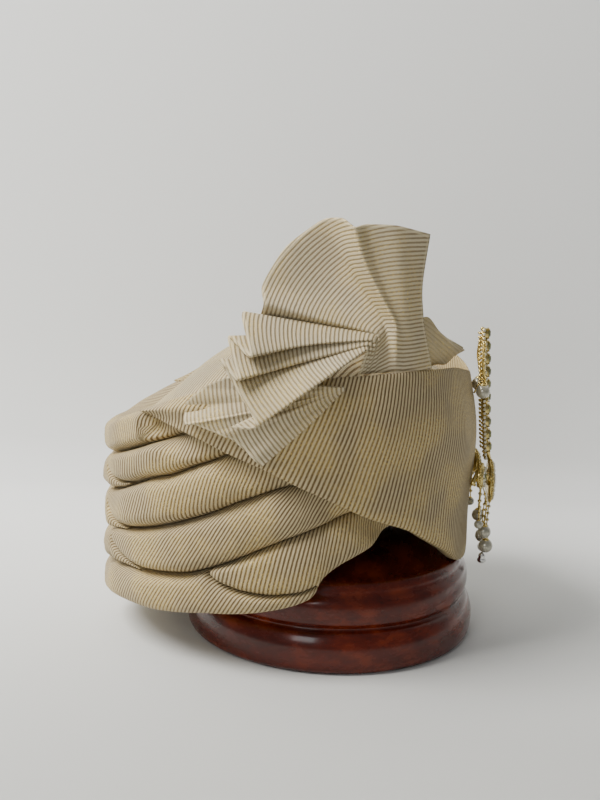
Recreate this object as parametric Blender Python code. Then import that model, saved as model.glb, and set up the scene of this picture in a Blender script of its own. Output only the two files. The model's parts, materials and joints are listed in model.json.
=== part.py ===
"""Tied turban pagri with a hanging front brooch, on a turned wooden stand.

Lengths are in metres. +X is the turban's front, -Y its right side and +Z is up.
The origin is the centre of the stand's underside.
"""
import math

import bmesh
import bpy
from mathutils import Vector

# Fits
GAP = 0.0003
STAND_CLEARANCE = 0.0015

# Turned stand
STAND_RADIUS = 0.102
STAND_HEIGHT = 0.061
POST_RADIUS = 0.013
HEAD_RADIUS = 0.038
HEAD_HEIGHT = 0.038

# Hollow for the head, an oval
HOLLOW_LENGTH = 0.200
HOLLOW_WIDTH = 0.156
HOLLOW_SETBACK = 0.014

# Wound cloth round the hollow
FRONT_PAD = 0.009
SIDE_PAD = 0.035
BACK_PAD = 0.048
WRAP_HEIGHT = 0.182
BACK_DROP = 0.044
LEFT_DROP = 0.0085
CROWN_WALL = 0.003
CROWN_RISE = 0.021
CROWN_DEPTH = 0.006
CROWN_FRONT_SLOPE = 0.7
CROWN_INNER_FULLNESS = 0.8
CROWN_INNER_RIM = 0.70
CROWN_BACK_REACH = 0.42
BAND_WALL = 0.005
BAND_LIFT = 0.0015
BAND_BULGE = 0.0045
BAND_DIVE = 0.008
BAND_SWELL_POWER = 1.7
BAND_LEAN = 0.0045
BAND_EDGE_ROUND = 0.6
THIN_RECESS = 0.006

# Pleated fan, leaf and front fold
FAN_REACH = 0.106
FAN_CLOTH = 0.0012
FAN_WAIST_CLOTH = 0.0005
SHARPEST_FOLD = 0.35
FOLD_LENGTH = 0.046
FOLD_CLOTH = 0.0024

# Brooch
BROOCH_HEIGHT = 0.128
BROOCH_STANDOFF = 0.006
COLLET_DEPTH = 0.0034
COLLET_WIDTH = 0.0062
STONE_HEIGHT = 0.0016
PLUME_STONES = 10
MEDALLION_RADIUS = 0.0155
CENTRE_STONE_RADIUS = 0.0085
WIRE_RADIUS = 0.0007
SPINE_RADIUS = 0.0015
WING_RADIUS = 0.0022
LOBE_RADIUS = 0.0085
DROP_HEIGHT = 0.0085
BROOCH_REACH = 0.030
PEARL_RADIUS = 0.0050

# Facets
TURNED_SIDES = 36
PEARL_SIDES = 10
ROUND_SECTION = 9

# The stand's turned outline: shares of STAND_RADIUS and STAND_HEIGHT
STAND_OUTLINE = (
    ("foot", 0.955, 0.00),
    ("foot edge", 0.988, 0.05),
    ("lower tier", 1.000, 0.16),
    ("lower tier top", 0.996, 0.30),
    ("lower shoulder", 0.966, 0.43),
    ("lower groove", 0.926, 0.48),
    ("middle tier foot", 0.948, 0.55),
    ("middle tier", 0.958, 0.66),
    ("middle shoulder", 0.946, 0.78),
    ("upper groove", 0.914, 0.854),
    ("upper tier", 0.905, 0.91),
    ("upper edge", 0.880, 0.97),
    ("top", 0.817, 1.00),
    ("dome foot", 0.720, 1.07),
    ("dome side", 0.560, 1.17),
    ("dome", 0.360, 1.24),
    ("neck", 0.200, 1.27),
)

# Crease heights round the wrap: degrees from the front, share of WRAP_HEIGHT
CREASES = {
    "band foot": ((0, 0.20), (24, 0.24), (38, 0.315), (48, 0.37), (58, 0.43), (72, 0.49),
                  (86, 0.571), (94, 0.615), (103, 0.668), (113, 0.714), (122, 0.757),
                  (134, 0.785), (143, 0.80)),
    "band top": ((0, 0.93), (20, 0.962), (37, 0.99), (60, 1.0), (80, 0.995), (100, 0.975),
                 (115, 0.94), (128, 0.893), (136, 0.855), (143, 0.82)),
    "wrap top": ((0, 0.85), (25, 0.875), (45, 0.925), (60, 0.95), (80, 0.94), (100, 0.92), (120, 0.885), (134, 0.85), (146, 0.81),
                 (156, 0.77), (168, 0.715), (180, 0.70)),
    "crease 1": ((60, 0.90), (75, 0.89), (95, 0.87), (115, 0.82), (129, 0.758), (133, 0.737),
                 (143, 0.69), (156, 0.633), (172, 0.577), (180, 0.57)),
    "crease 2": ((60, 0.84), (80, 0.82), (100, 0.77), (114, 0.704), (119, 0.676), (125, 0.646),
                 (133, 0.60), (141, 0.571), (148, 0.536), (160, 0.48), (172, 0.446), (180, 0.44)),
    "crease 3": ((60, 0.74), (80, 0.68), (94, 0.607), (102, 0.579), (111, 0.535), (120, 0.482),
                 (130, 0.432), (142, 0.381), (165, 0.309), (172, 0.288), (180, 0.285)),
    "crease 4": ((60, 0.57), (66, 0.55), (76, 0.507), (84, 0.475), (93, 0.43), (97, 0.41),
                 (106, 0.359), (113, 0.316), (120, 0.28), (127, 0.25), (136, 0.23), (148, 0.215),
                 (160, 0.20), (172, 0.152), (180, 0.15)),
    "crease 5": ((82, 0.305), (86, 0.259), (92, 0.225), (97, 0.215), (101, 0.212), (108, 0.22),
                 (113, 0.236), (120, 0.28)),
    "wrap foot": ((60, 0.43), (63, 0.42), (68, 0.394), (75, 0.351), (81, 0.313), (85, 0.275),
                  (89, 0.208), (95, 0.178), (101, 0.16), (110, 0.136), (120, 0.115), (131, 0.09),
                  (143, 0.07), (155, 0.058), (168, 0.03), (180, 0.0)),
}

# How far each crease sits lower on the left side: share of LEFT_DROP
LEFT_DROPS = {
    "band foot": 1.0,
    "band top": 1.0,
    "wrap top": 1.0,
    "crease 1": 0.8,
    "crease 2": 0.5,
    "crease 3": 0.3,
}

# Where a right roll's rounded end is tucked: degrees from the front
TUCKS = {
    "roll_2": (147, 165),
    "roll_3": (150, 166),
    "roll_4": (141, 160),
}

# Degrees from the front at which the rolls' sections stand, right and left side
RIGHT_TURNS = (60, 66, 72, 78, 84, 90, 95, 101, 107, 113, 120, 127, 134, 143, 147, 152, 156, 162,
               168, 174)
LEFT_TURNS = (180, 172, 162, 153, 143, 130, 116, 103, 91, 80, 70, 60)
FRONT_TURNS = (54, 48, 41, 33, 25, 17, 8)

# Degrees from the front between which roll 5 lies on roll 6
ROLL_5_CREASE = (87, 118)

# Power of the rolls' rounded sections: 1 is an oval, less is fuller
ROLL_POWER = 0.5

# Degrees from the front at which the band's ends are tucked in
BAND_END = 143

# Fan folds, front edge first: shares of FAN_REACH to the front, to the near side
# and up from the pinch, at the hem, half way, at the waist and at the foot
FAN_FOLDS = (
    ("front edge", (0.24, -0.09, 0.59), (0.21, -0.09, 0.29), (0.23, -0.11, 0.07), (0.30, -0.17)),
    ("front leaf", (0.04, 0.00, 0.64), (0.08, 0.00, 0.38), (0.14, -0.02, 0.06), (0.21, -0.08)),
    ("notch front", (-0.14, 0.02, 0.64), (-0.06, 0.00, 0.38), (0.09, 0.00, 0.06), (0.13, -0.03)),
    ("notch", (-0.20, 0.08, 0.62), (-0.12, 0.05, 0.39), (0.07, 0.03, 0.07), (0.08, 0.01)),
    ("notch back", (-0.27, 0.00, 0.67), (-0.21, -0.04, 0.41), (0.02, -0.02, 0.06), (0.04, 0.02)),
    ("crest", (-0.38, -0.08, 0.66), (-0.25, -0.09, 0.41), (0.01, -0.02, 0.04), (0.00, 0.04)),
    ("great leaf", (-0.60, -0.08, 0.49), (-0.34, -0.08, 0.27), (0.00, 0.00, 0.03), (-0.03, 0.05)),
    ("leaf foot", (-0.73, -0.04, 0.26), (-0.45, -0.04, 0.19), (-0.010, 0.010, 0.021), (-0.045, 0.055)),
    ("ridge 1", (-0.70, 0.08, 0.17), (-0.38, 0.06, 0.09), (-0.020, 0.026, 0.012), (-0.055, 0.065)),
    ("valley 1", (-0.73, -0.02, 0.07), (-0.38, 0.00, 0.05), (-0.028, 0.026, 0.008), (-0.067, 0.068)),
    ("back 2", (-0.84, 0.08, 0.13), (-0.44, 0.05, 0.06), (-0.034, 0.038, 0.002), (-0.078, 0.073)),
    ("ridge 2", (-0.73, 0.38, -0.13), (-0.43, 0.19, -0.06), (-0.042, 0.060, -0.016), (-0.089, 0.080)),
    ("back 3", (-0.92, 0.11, 0.01), (-0.49, 0.08, 0.01), (-0.058, 0.054, -0.019), (-0.100, 0.083)),
    ("ridge 3", (-0.79, 0.41, -0.26), (-0.45, 0.22, -0.15), (-0.061, 0.078, -0.036), (-0.111, 0.090)),
    ("back 4", (-0.97, 0.18, -0.11), (-0.54, 0.12, -0.12), (-0.078, 0.070, -0.037), (-0.122, 0.093)),
    ("ridge 4", (-0.67, 0.46, -0.49), (-0.42, 0.38, -0.28), (-0.080, 0.096, -0.056), (-0.133, 0.100)),
    ("back edge", (-0.85, 0.38, -0.50), (-0.47, 0.34, -0.30), (-0.096, 0.090, -0.062), (-0.144, 0.103)),
)
FAN_ROWS = (0.0, 0.2, 0.42, 0.6, 0.8, 1.0)

# The pinch: degrees from the front, shares of FAN_REACH out of and above the band
PINCH = (-69.0, -0.075, 0.215)

# Lower leaf: degrees from the front and share of WRAP_HEIGHT, at the hem
LEAF_HEM = (
    ("point", 103.0, 0.687),
    ("foot", 106.5, 0.729),
    ("foot rise", 111.0, 0.780),
    ("step", 115.0, 0.797),
    ("fold", 120.6, 0.821),
    ("back point", 123.5, 0.815),
    ("back", 125.0, 0.873),
    ("upper back", 119.0, 0.945),
    ("top", 113.0, 0.985),
)

# Lower leaf's root: degrees from the front, low and high share of WRAP_HEIGHT
LEAF_ROOT = (82.0, 0.955, 0.965)

# Front fold: shares of FOLD_LENGTH along, out and up, and its width share
FRONT_FOLD = (
    ("root", 0.00, 0.00, 0.15, 0.34),
    ("back", 0.06, 0.03, 0.30, 0.62),
    ("hip", 0.30, 0.05, 0.33, 0.74),
    ("middle", 0.62, 0.04, 0.24, 0.50),
    ("tip side", 0.95, 0.02, 0.16, 0.38),
    ("tip", 1.42, 0.00, 0.13, 0.06),
)

# The brooch's side outline: share of BROOCH_HEIGHT above its foot, stand-off share
BROOCH_LINE = ((0.00, 1.92), (0.16, 2.02), (0.33, 1.45), (0.60, 0.95), (0.88, 0.57), (1.00, 0.37))

# Pearls: side share of BROOCH_REACH, height share of BROOCH_HEIGHT, stand-off and radius shares
PEARLS = {
    "upper": (0.499, 0.686, -0.10, 0.96),
    "middle": (0.401, -0.180, 0.25, 1.00),
    "outer": (0.683, -0.080, 0.10, 0.92),
    "end": (0.960, -0.020, -0.35, 0.62),
    "centre_top": (0.0, -0.100, 0.0, 0.62),
}

# What hangs below the first centre pearl: share of BROOCH_HEIGHT
HANGING_SHARE = 0.20

# Pearls strung close below the centre one: radius shares
CENTRE_STRING = {
    "centre_middle": 0.68,
    "centre_low": 0.72,
}

# Wires from the medallion's edge: shares of MEDALLION_RADIUS to the side and down
MEDALLION_WIRES = {
    "middle": (0.55, 0.74),
    "centre_top": (0.0, 0.80),
}

# Wires from the lobes: shares of LOBE_RADIUS outward and down
LOBE_WIRES = {
    "outer": (-0.21, 0.30),
    "end": (0.49, 0.30),
}

# The lobes: share of BROOCH_REACH to the side, height share of BROOCH_HEIGHT
LOBE_PLACE = (0.72, 0.235)

# Height shares of BROOCH_HEIGHT: the medallion's middle, the plume's first and last stone
MEDALLION_SHARE = 0.165
PLUME_SHARES = (0.36, 0.985)

# The spine's foot on the medallion: share of MEDALLION_RADIUS above its middle
SPINE_FOOT = 0.7

# The spine's bend below the first plume stone, in stones
SPINE_ROOT = 0.75

# Values that follow from the sizes
WRAP_FOOT = STAND_HEIGHT - BACK_DROP
WRAP_TOP = WRAP_FOOT + WRAP_HEIGHT
HALF_LENGTH = HOLLOW_LENGTH / 2
HALF_WIDTH = HOLLOW_WIDTH / 2


def smooth_step(low, high, value):
    """Ease from 0 at low to 1 at high."""
    share = min(1.0, max(0.0, (value - low) / (high - low)))
    return share * share * (3 - 2 * share)


def curve_through(rows, value):
    """Read a smooth curve through (place, height) rows, without overshoot."""
    places = [row[0] for row in rows]
    heights = [row[1] for row in rows]
    if value <= places[0]:
        return heights[0]
    if value >= places[-1]:
        return heights[-1]
    slopes = [(heights[i + 1] - heights[i]) / (places[i + 1] - places[i])
              for i in range(len(rows) - 1)]
    index = next(i for i in range(len(rows) - 1) if value <= places[i + 1])

    def tangent(i):
        if i in (0, len(rows) - 1):
            return slopes[0] if i == 0 else slopes[-1]
        before, after = slopes[i - 1], slopes[i]
        if before * after <= 0:
            return 0.0
        return 2 * before * after / (before + after)

    span = places[index + 1] - places[index]
    t = (value - places[index]) / span
    return ((2 * t ** 3 - 3 * t ** 2 + 1) * heights[index]
            + (t ** 3 - 2 * t ** 2 + t) * span * tangent(index)
            + (3 * t ** 2 - 2 * t ** 3) * heights[index + 1]
            + (t ** 3 - t ** 2) * span * tangent(index + 1))


def crease(name, angle):
    """Height of a crease at an angle from the front; the left side is positive."""
    turn = abs(angle)
    height = WRAP_FOOT + WRAP_HEIGHT * curve_through(CREASES[name], turn)
    if angle > 0:
        held = smooth_step(95, 125, turn) * (1 - smooth_step(150, 180, turn))
        height -= LEFT_DROP * LEFT_DROPS.get(name, 0.0) * held
    return height


def oval(angle, distance, height):
    """A point some distance out from the hollow's oval wall."""
    turn = math.radians(angle)
    normal = Vector((math.cos(turn) / HALF_LENGTH, math.sin(turn) / HALF_WIDTH)).normalized()
    return Vector((HALF_LENGTH * math.cos(turn) - HOLLOW_SETBACK + distance * normal.x,
                   HALF_WIDTH * math.sin(turn) + distance * normal.y, height))


def pad(angle):
    """How far the wound cloth stands out from the hollow's wall."""
    turn = math.radians(angle)
    middle = (FRONT_PAD + BACK_PAD) / 2
    along = (1 - math.cos(turn)) / 2
    return (FRONT_PAD + (BACK_PAD - FRONT_PAD) * along
            + (SIDE_PAD - middle) * math.sin(turn) ** 2)


def roll_inside():
    """The rolls' inner faces lie just outside the crown's wall."""
    return CROWN_WALL + 2 * GAP


def band_pad(angle):
    """The band lies on the wound cloth and dives into it at its tucked ends."""
    return pad(angle) - BAND_DIVE * smooth_step(120, BAND_END, abs(angle))


def band_inside(angle):
    """The band's inner face: on the wall in front, over the rolls at the sides."""
    front = roll_inside()
    over_rolls = band_pad(angle) - BAND_WALL
    return front + (over_rolls - front) * smooth_step(50, 80, abs(angle))


def stand_reach(height):
    """The stand's largest radius at or above a height."""
    rows = [radius * STAND_RADIUS for _, radius, share in STAND_OUTLINE
            if share * STAND_HEIGHT >= height - 2 * STAND_CLEARANCE]
    return max(rows, default=0.0)


def clear_of_stand(angle, height, distance):
    """Move a wall out until it clears the stand's tiers."""
    reach = stand_reach(height) + STAND_CLEARANCE
    while oval(angle, distance, 0).xy.length < reach:
        distance += STAND_CLEARANCE / 4
    return distance


def material(name, colour, roughness, metallic=0.0):
    """A Principled material."""
    made = bpy.data.materials.get(name)
    if made:
        return made
    made = bpy.data.materials.new(name)
    made.use_nodes = True
    made.diffuse_color = (*colour, 1.0)
    shader = made.node_tree.nodes["Principled BSDF"]
    shader.inputs["Base Color"].default_value = (*colour, 1.0)
    shader.inputs["Roughness"].default_value = roughness
    shader.inputs["Metallic"].default_value = metallic
    return made


def cloth(name):
    """Cream tissue cloth for one sub-part."""
    return material(name + " cloth", (0.62, 0.53, 0.36), 0.75)


def wood(name):
    """Red-brown varnished wood for one sub-part."""
    return material(name + " wood", (0.20, 0.035, 0.015), 0.25)


def gold(name):
    """Yellow brass for one sub-part."""
    return material(name + " metal", (0.75, 0.55, 0.18), 0.25, 1.0)


def pearl(name):
    """Cream pearl for one sub-part."""
    return material(name + " gloss", (0.85, 0.80, 0.70), 0.2)


def add_mesh(name, points, faces, look, sharp=40):
    """Make one object from points and faces, with its faces pointing out."""
    mesh = bpy.data.meshes.new(name)
    built = bmesh.new()
    corners = [built.verts.new(point) for point in points]
    for face in faces:
        built.faces.new([corners[index] for index in face])
    bmesh.ops.recalc_face_normals(built, faces=built.faces)
    built.to_mesh(mesh)
    built.free()
    mesh.shade_smooth()
    mesh.set_sharp_from_angle(angle=math.radians(sharp))
    mesh.materials.append(look)
    made = bpy.data.objects.new(name, mesh)
    bpy.context.scene.collection.objects.link(made)
    return made


def loft(sections, ring=False):
    """Join closed sections of equal length into one skin, capped unless a ring."""
    count = len(sections[0])
    points = [point for section in sections for point in section]
    faces = []
    spans = len(sections) if ring else len(sections) - 1
    for row in range(spans):
        below = row * count
        above = (row + 1) % len(sections) * count
        for i in range(count):
            j = (i + 1) % count
            faces.append((below + i, below + j, above + j))
            faces.append((below + i, above + j, above + i))
    if not ring:
        faces.append(tuple(range(count))[::-1])
        faces.append(tuple(range((len(sections) - 1) * count, len(sections) * count)))
    return points, faces


def lathe(outline, sides):
    """Turn an outline of (radius, height) rows about Z; both ends are on the axis."""
    points = [Vector((0, 0, outline[0][1]))]
    for radius, height in outline:
        for i in range(sides):
            turn = 2 * math.pi * i / sides
            points.append(Vector((radius * math.cos(turn), radius * math.sin(turn), height)))
    points.append(Vector((0, 0, outline[-1][1])))
    faces = []
    for i in range(sides):
        j = (i + 1) % sides
        faces.append((0, 1 + j, 1 + i))
        for row in range(len(outline) - 1):
            low = 1 + row * sides
            faces.append((low + i, low + j, low + sides + j, low + sides + i))
        last = 1 + (len(outline) - 1) * sides
        faces.append((last + i, last + j, len(points) - 1))
    return points, faces


def build_stand_base():
    """Three stacked round tiers with grooves between them."""
    outline = [(radius * STAND_RADIUS, share * STAND_HEIGHT) for _, radius, share in STAND_OUTLINE]
    add_mesh("stand_base", *lathe(outline, TURNED_SIDES), wood("stand_base"))


def crown_top():
    """Height of the crown's outer top."""
    return WRAP_TOP + CROWN_RISE


def stand_head_top():
    """The stand's head touches the crown's inside."""
    return crown_top() - CROWN_DEPTH - 2 * GAP


def build_stand_post():
    """Turned spindle from the base to the head."""
    foot = STAND_OUTLINE[-1][2] * STAND_HEIGHT + GAP
    top = stand_head_top() - HEAD_HEIGHT - GAP
    rows = ((1.25, 0.0), (1.25, 0.04), (0.85, 0.10), (1.0, 0.35), (1.0, 0.80), (0.85, 0.90),
            (1.3, 0.96), (1.3, 1.0))
    outline = [(radius * POST_RADIUS, foot + share * (top - foot)) for radius, share in rows]
    add_mesh("stand_post", *lathe(outline, TURNED_SIDES // 2), wood("stand_post"))


def build_stand_head():
    """Domed head that the crown sits on."""
    top = stand_head_top()
    foot = top - HEAD_HEIGHT
    outline = [(HEAD_RADIUS * 0.72, foot), (HEAD_RADIUS * 0.94, foot + HEAD_HEIGHT * 0.08)]
    for degrees in (8, 22, 38, 54, 70, 84):
        turn = math.radians(degrees)
        outline.append((HEAD_RADIUS * math.cos(turn),
                        foot + HEAD_HEIGHT * (0.12 + 0.88 * math.sin(turn))))
    add_mesh("stand_head", *lathe(outline, TURNED_SIDES), wood("stand_head"))


def crown_rim(angle):
    """Distance and height of the crown's outer rim, just above the wound rolls."""
    turn = abs(angle)
    at_back = BACK_PAD * CROWN_BACK_REACH
    at_side = band_inside(angle) - 0.2 * BAND_WALL - 2 * GAP
    blend = smooth_step(138, 165, turn)
    distance = max(CROWN_WALL + GAP, at_side * (1 - blend) + at_back * blend)
    return distance, crease("wrap top", angle) + 2 * GAP


def wall_foot(angle):
    """Lower edge of the crown's wall, hidden behind the band and the rolls."""
    turn = abs(angle)
    rim = crease("band foot", angle) if turn < 60 else crease("wrap foot", angle)
    return max(rim + BAND_WALL, STAND_HEIGHT + BAND_WALL)


def build_crown():
    """The crown's cloth: a wall round the head and a padded dome over it."""
    apex = Vector((0, 0, 0))
    inner_rim = WRAP_FOOT + CROWN_INNER_RIM * WRAP_HEIGHT
    rows = (0.97, 0.90, 0.78, 0.62, 0.42, 0.20)
    turns = [360 * i / TURNED_SIDES for i in range(TURNED_SIDES)]
    outer_top = crown_top()
    inner_top = outer_top - CROWN_DEPTH
    strips = []
    for turn in turns:
        angle = turn if turn <= 180 else turn - 360
        reach, rim = crown_rim(angle)
        foot = wall_foot(angle)
        edge = oval(angle, reach, rim)
        inner_edge = oval(angle, 0, inner_rim)
        power = 2 - CROWN_FRONT_SLOPE * max(0.0, math.cos(math.radians(angle)))
        strip = []
        for share in reversed(rows):
            point = apex.lerp(edge, share)
            point.z = rim + (outer_top - rim) * (1 - share ** power)
            strip.append(point)
        strip.append(edge)
        strip.append(oval(angle, CROWN_WALL, rim))
        strip.append(oval(angle, CROWN_WALL, (rim + foot) / 2))
        strip.append(oval(angle, CROWN_WALL, foot))
        strip.append(oval(angle, 0, foot))
        strip.append(oval(angle, 0, (inner_rim + foot) / 2))
        strip.append(inner_edge)
        for share in rows:
            point = apex.lerp(inner_edge, share)
            point.z = inner_rim + (inner_top - inner_rim) * (1 - share ** (power + CROWN_INNER_FULLNESS))
            strip.append(point)
        strips.append(strip)
    count = len(strips[0])
    points = [point for strip in strips for point in strip]
    points.append(apex + Vector((0, 0, outer_top)))
    points.append(apex + Vector((0, 0, inner_top)))
    faces = []
    for i in range(len(strips)):
        here = i * count
        after = (i + 1) % len(strips) * count
        for row in range(count - 1):
            faces.append((here + row, after + row, after + row + 1))
            faces.append((here + row, after + row + 1, here + row + 1))
        faces.append((here, len(points) - 2, after))
        faces.append((here + count - 1, after + count - 1, len(points) - 1))
    add_mesh("crown", points, faces, cloth("crown"))


def tucked(name, turn, low, high):
    """Height of the rounded end of a right roll between its two creases."""
    start, end = TUCKS[name]
    share = min(1.0, max(0.0, (turn - start) / (end - start)))
    return low + (high - low) * (1 - math.sqrt(1 - share * share))


def roll_limits(name, angle):
    """Lower and upper crease heights of a roll at an angle; right side is negative."""
    turn = abs(angle)
    right = angle < 0
    names = {"roll_1": ("crease 1", "wrap top"), "roll_2": ("crease 2", "crease 1"),
             "roll_3": ("crease 3", "crease 2"), "roll_4": ("crease 4", "crease 3"),
             "roll_5": ("crease 5", "crease 4"), "roll_6": ("wrap foot", "crease 4")}
    key = name[:6]
    low, high = (crease(part, angle) for part in names[key])
    if key == "roll_5" and turn < ROLL_5_CREASE[0]:
        low = crease("wrap foot", angle)
    if key == "roll_6" and turn < 120:
        high = crease("crease 5", angle)
    if key in TUCKS and right:
        hook = tucked(key, turn, low, high)
        low, high = (hook, high) if name.endswith("right") else (low, hook)
    return low + 2 * GAP, high - 2 * GAP


def cover(angle, height):
    """The wound cloth's outer limit: the band's inside, then free below its foot."""
    inside = band_inside(angle) - 3 * GAP
    free = pad(angle)
    below = crease("band foot", angle) - height
    if abs(angle) > BAND_END:
        return free
    return inside + (free - inside) * smooth_step(1.2 * BAND_WALL, 4.0 * BAND_WALL, below)


def roll_section(name, angle):
    """One D-shaped section of a roll: flat inside, round outside."""
    low, high = roll_limits(name, angle)
    middle = (low + high) / 2
    half = (high - low) / 2
    inside = clear_of_stand(angle, low, roll_inside())
    recess = THIN_RECESS * (1 - smooth_step(0, 2 * THIN_RECESS, 2 * half))
    section = []
    for i in range(ROUND_SECTION):
        turn = math.pi * i / (ROUND_SECTION - 1)
        lift = abs(math.cos(turn)) ** ROLL_POWER
        height = middle - half * math.copysign(lift, math.cos(turn))
        crest = max(inside + 4 * GAP, cover(angle, height) - recess)
        round_share = max(0.0, math.sin(turn)) ** ROLL_POWER
        distance = inside + (crest - inside) * round_share
        section.append(oval(angle, distance, height))
    return section


def build_roll(name, angles):
    """A padded roll of wound cloth along its creases."""
    sections = [roll_section(name, angle) for angle in angles]
    add_mesh(name, *loft(sections), cloth(name), sharp=60)


def tuck_tip(name):
    """Degrees from the front at which a tucked roll's rounded end is capped."""
    return TUCKS[name][1] - 0.5


def right_angles(first, last):
    """Right-side section angles, front to back, the same for every roll."""
    turns = sorted(RIGHT_TURNS + tuple(tuck_tip(name) for name in TUCKS))
    return [-turn for turn in turns if first <= turn <= last]


def left_angles(first):
    """Left-side section angles, back to front."""
    return [turn for turn in LEFT_TURNS if turn >= first]


def build_rolls():
    """Six wound rolls; three of them end in a tuck near the back of the right side."""
    build_roll("roll_1", right_angles(60, 180) + left_angles(60))
    for name, (start, end) in TUCKS.items():
        build_roll(name + "_right", right_angles(60, tuck_tip(name)))
        build_roll(name + "_left", right_angles(start + 0.4 * (end - start), 180)
                   + left_angles(60))
    first, last = ROLL_5_CREASE
    build_roll("roll_5_right", right_angles(60, last) + [-last])
    build_roll("roll_5_left", [last] + [turn for turn in left_angles(60) if turn <= last])
    build_roll("roll_6", [-first] + right_angles(first, 180) + left_angles(first) + [first])


def band_swell(share):
    """How far the band's middle swells out, at a share of its height."""
    return BAND_BULGE * math.sin(math.pi * min(1.0, max(0.0, share)) ** BAND_SWELL_POWER) ** 2


def band_outside(angle, height):
    """How far the band's outer face is from the hollow's wall."""
    low = crease("band foot", angle)
    share = (height - low) / (crease("band top", angle) - low)
    lean = BAND_LEAN * share * (1 - smooth_step(30, 75, abs(angle)))
    return band_pad(angle) + BAND_LIFT + band_swell(share) - lean


def band_face(side, height):
    """The band's outer face near the front, at a distance to one side."""
    nearest, farthest = 0.0, 80.0
    for _ in range(24):
        angle = (nearest + farthest) / 2
        point = oval(angle, band_outside(angle, height), height)
        if point.y < abs(side):
            nearest = angle
        else:
            farthest = angle
    return point.x


def band_section(angle):
    """One section of the broad front band."""
    low = crease("band foot", angle) + GAP
    high = crease("band top", angle)
    inside = band_inside(angle)
    section = []
    for share, drop in ((0.0, 0.9), (0.06, 0.25), (0.25, 0.0), (0.5, 0.0), (0.75, 0.0),
                        (0.93, 0.2), (1.0, 0.75)):
        height = low + (high - low) * share
        outside = band_outside(angle, height)
        wall = min(BAND_WALL, outside - inside)
        section.append(oval(angle, outside - drop * BAND_EDGE_ROUND * wall, height))
    for share, lift in ((0.985, 0.25), (0.75, 0.0), (0.4, 0.0), (0.12, 0.1), (0.0, 0.45)):
        height = low + (high - low) * share
        outside = band_outside(angle, height)
        wall = min(BAND_WALL, outside - inside)
        distance = clear_of_stand(angle, height, inside + lift * wall)
        section.append(oval(angle, min(distance, outside - (1 - BAND_EDGE_ROUND) * wall), height))
    return section


def build_front_band():
    """The broad band across the front, narrowing over the rolls to both sides."""
    right = [-turn for turn in RIGHT_TURNS if turn <= BAND_END][::-1]
    front = [-turn for turn in FRONT_TURNS] + [0] + list(FRONT_TURNS)[::-1]
    left = [turn for turn in LEFT_TURNS if turn <= BAND_END][::-1]
    sections = [band_section(angle) for angle in right + front + left]
    add_mesh("front_band", *loft(sections), cloth("front_band"), sharp=60)


def panel_normal(grid, r, c):
    """The normal of the panel beyond column c, averaged over the rows next to row r."""
    total = Vector()
    for row in range(max(r - 1, 0), min(r + 1, len(grid) - 1)):
        total += (grid[row + 1][c + 1] - grid[row][c]).cross(grid[row][c + 1] - grid[row + 1][c])
    return total.normalized()


def fold_offset(grid, r, c):
    """How far a sheet's face moves at a fold for each unit of its half thickness."""
    columns = len(grid[0])
    before = panel_normal(grid, r, max(c - 1, 0))
    after = panel_normal(grid, r, min(c, columns - 2))
    return (before + after) / max(1 + before.dot(after), SHARPEST_FOLD)


def sheet(name, grid, thickness, look):
    """A closed thin sheet from a grid of points; thickness is given for each row."""
    rows, columns = len(grid), len(grid[0])
    points = []
    for side in (0.5, -0.5):
        for r in range(rows):
            for c in range(columns):
                points.append(grid[r][c] + side * thickness[r] * fold_offset(grid, r, c))
    back = rows * columns
    faces = []
    for r in range(rows - 1):
        for c in range(columns - 1):
            a = r * columns + c
            for corners in ((a, a + 1, a + columns + 1), (a, a + columns + 1, a + columns)):
                faces.append(corners)
                faces.append(tuple(back + index for index in reversed(corners)))
    rim = list(range(columns))
    rim += [r * columns + columns - 1 for r in range(1, rows)]
    rim += [(rows - 1) * columns + c for c in range(columns - 2, -1, -1)]
    rim += [r * columns for r in range(rows - 2, 0, -1)]
    for i, here in enumerate(rim):
        after = rim[(i + 1) % len(rim)]
        faces.append((here, back + here, back + after))
        faces.append((here, back + after, after))
    return add_mesh(name, points, faces, look, sharp=35)


def curve_point(corners, share):
    """A point on the smooth curve through three corner points."""
    first, middle, last = corners
    if share < 0.5:
        return smooth_span(first - (middle - first), first, middle, last, share * 2)
    return smooth_span(first, middle, last, last + (last - middle), share * 2 - 1)


def smooth_span(before, start, end, after, t):
    """Catmull-Rom point between start and end."""
    return 0.5 * (2 * start + (end - before) * t
                  + (2 * before - 5 * start + 4 * end - after) * t ** 2
                  + (3 * start - before - 3 * end + after) * t ** 3)


def turn_of(point):
    """Degrees from the front of a point on the band's top edge."""
    reach = SIDE_PAD * 0.8
    return math.degrees(math.atan2(point.y / (HALF_WIDTH + reach),
                                   (point.x + HOLLOW_SETBACK) / (HALF_LENGTH + reach)))


def pinch_point():
    """Where the fan's pleats are gathered, above the band's top edge."""
    angle, out, up = PINCH
    return oval(angle, pad(angle) + out * FAN_REACH, WRAP_TOP + up * FAN_REACH)


def fan_point(shares):
    """A point from the fan's shares of its reach."""
    front, near, up = shares
    return pinch_point() + FAN_REACH * Vector((front, -near, up))


def build_fan():
    """The pleated fan that stands out of the band's top edge."""
    grid = []
    for row in FAN_ROWS:
        line = []
        for name, hem, half, waist, foot in FAN_FOLDS:
            corners = [fan_point(place) for place in (waist, half, hem)]
            line.append(curve_point(corners, row))
        grid.append(line)
    feet = []
    for name, hem, half, waist, foot in FAN_FOLDS:
        point = fan_point((foot[0], foot[1], 0))
        point.z = crease("band top", turn_of(point)) + 2 * GAP
        feet.append(point)
    grid.insert(0, feet)
    thickness = [FAN_WAIST_CLOTH] * 3 + [FAN_CLOTH] * (len(grid) - 3)
    sheet("fan", grid, thickness, cloth("fan"))


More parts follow.
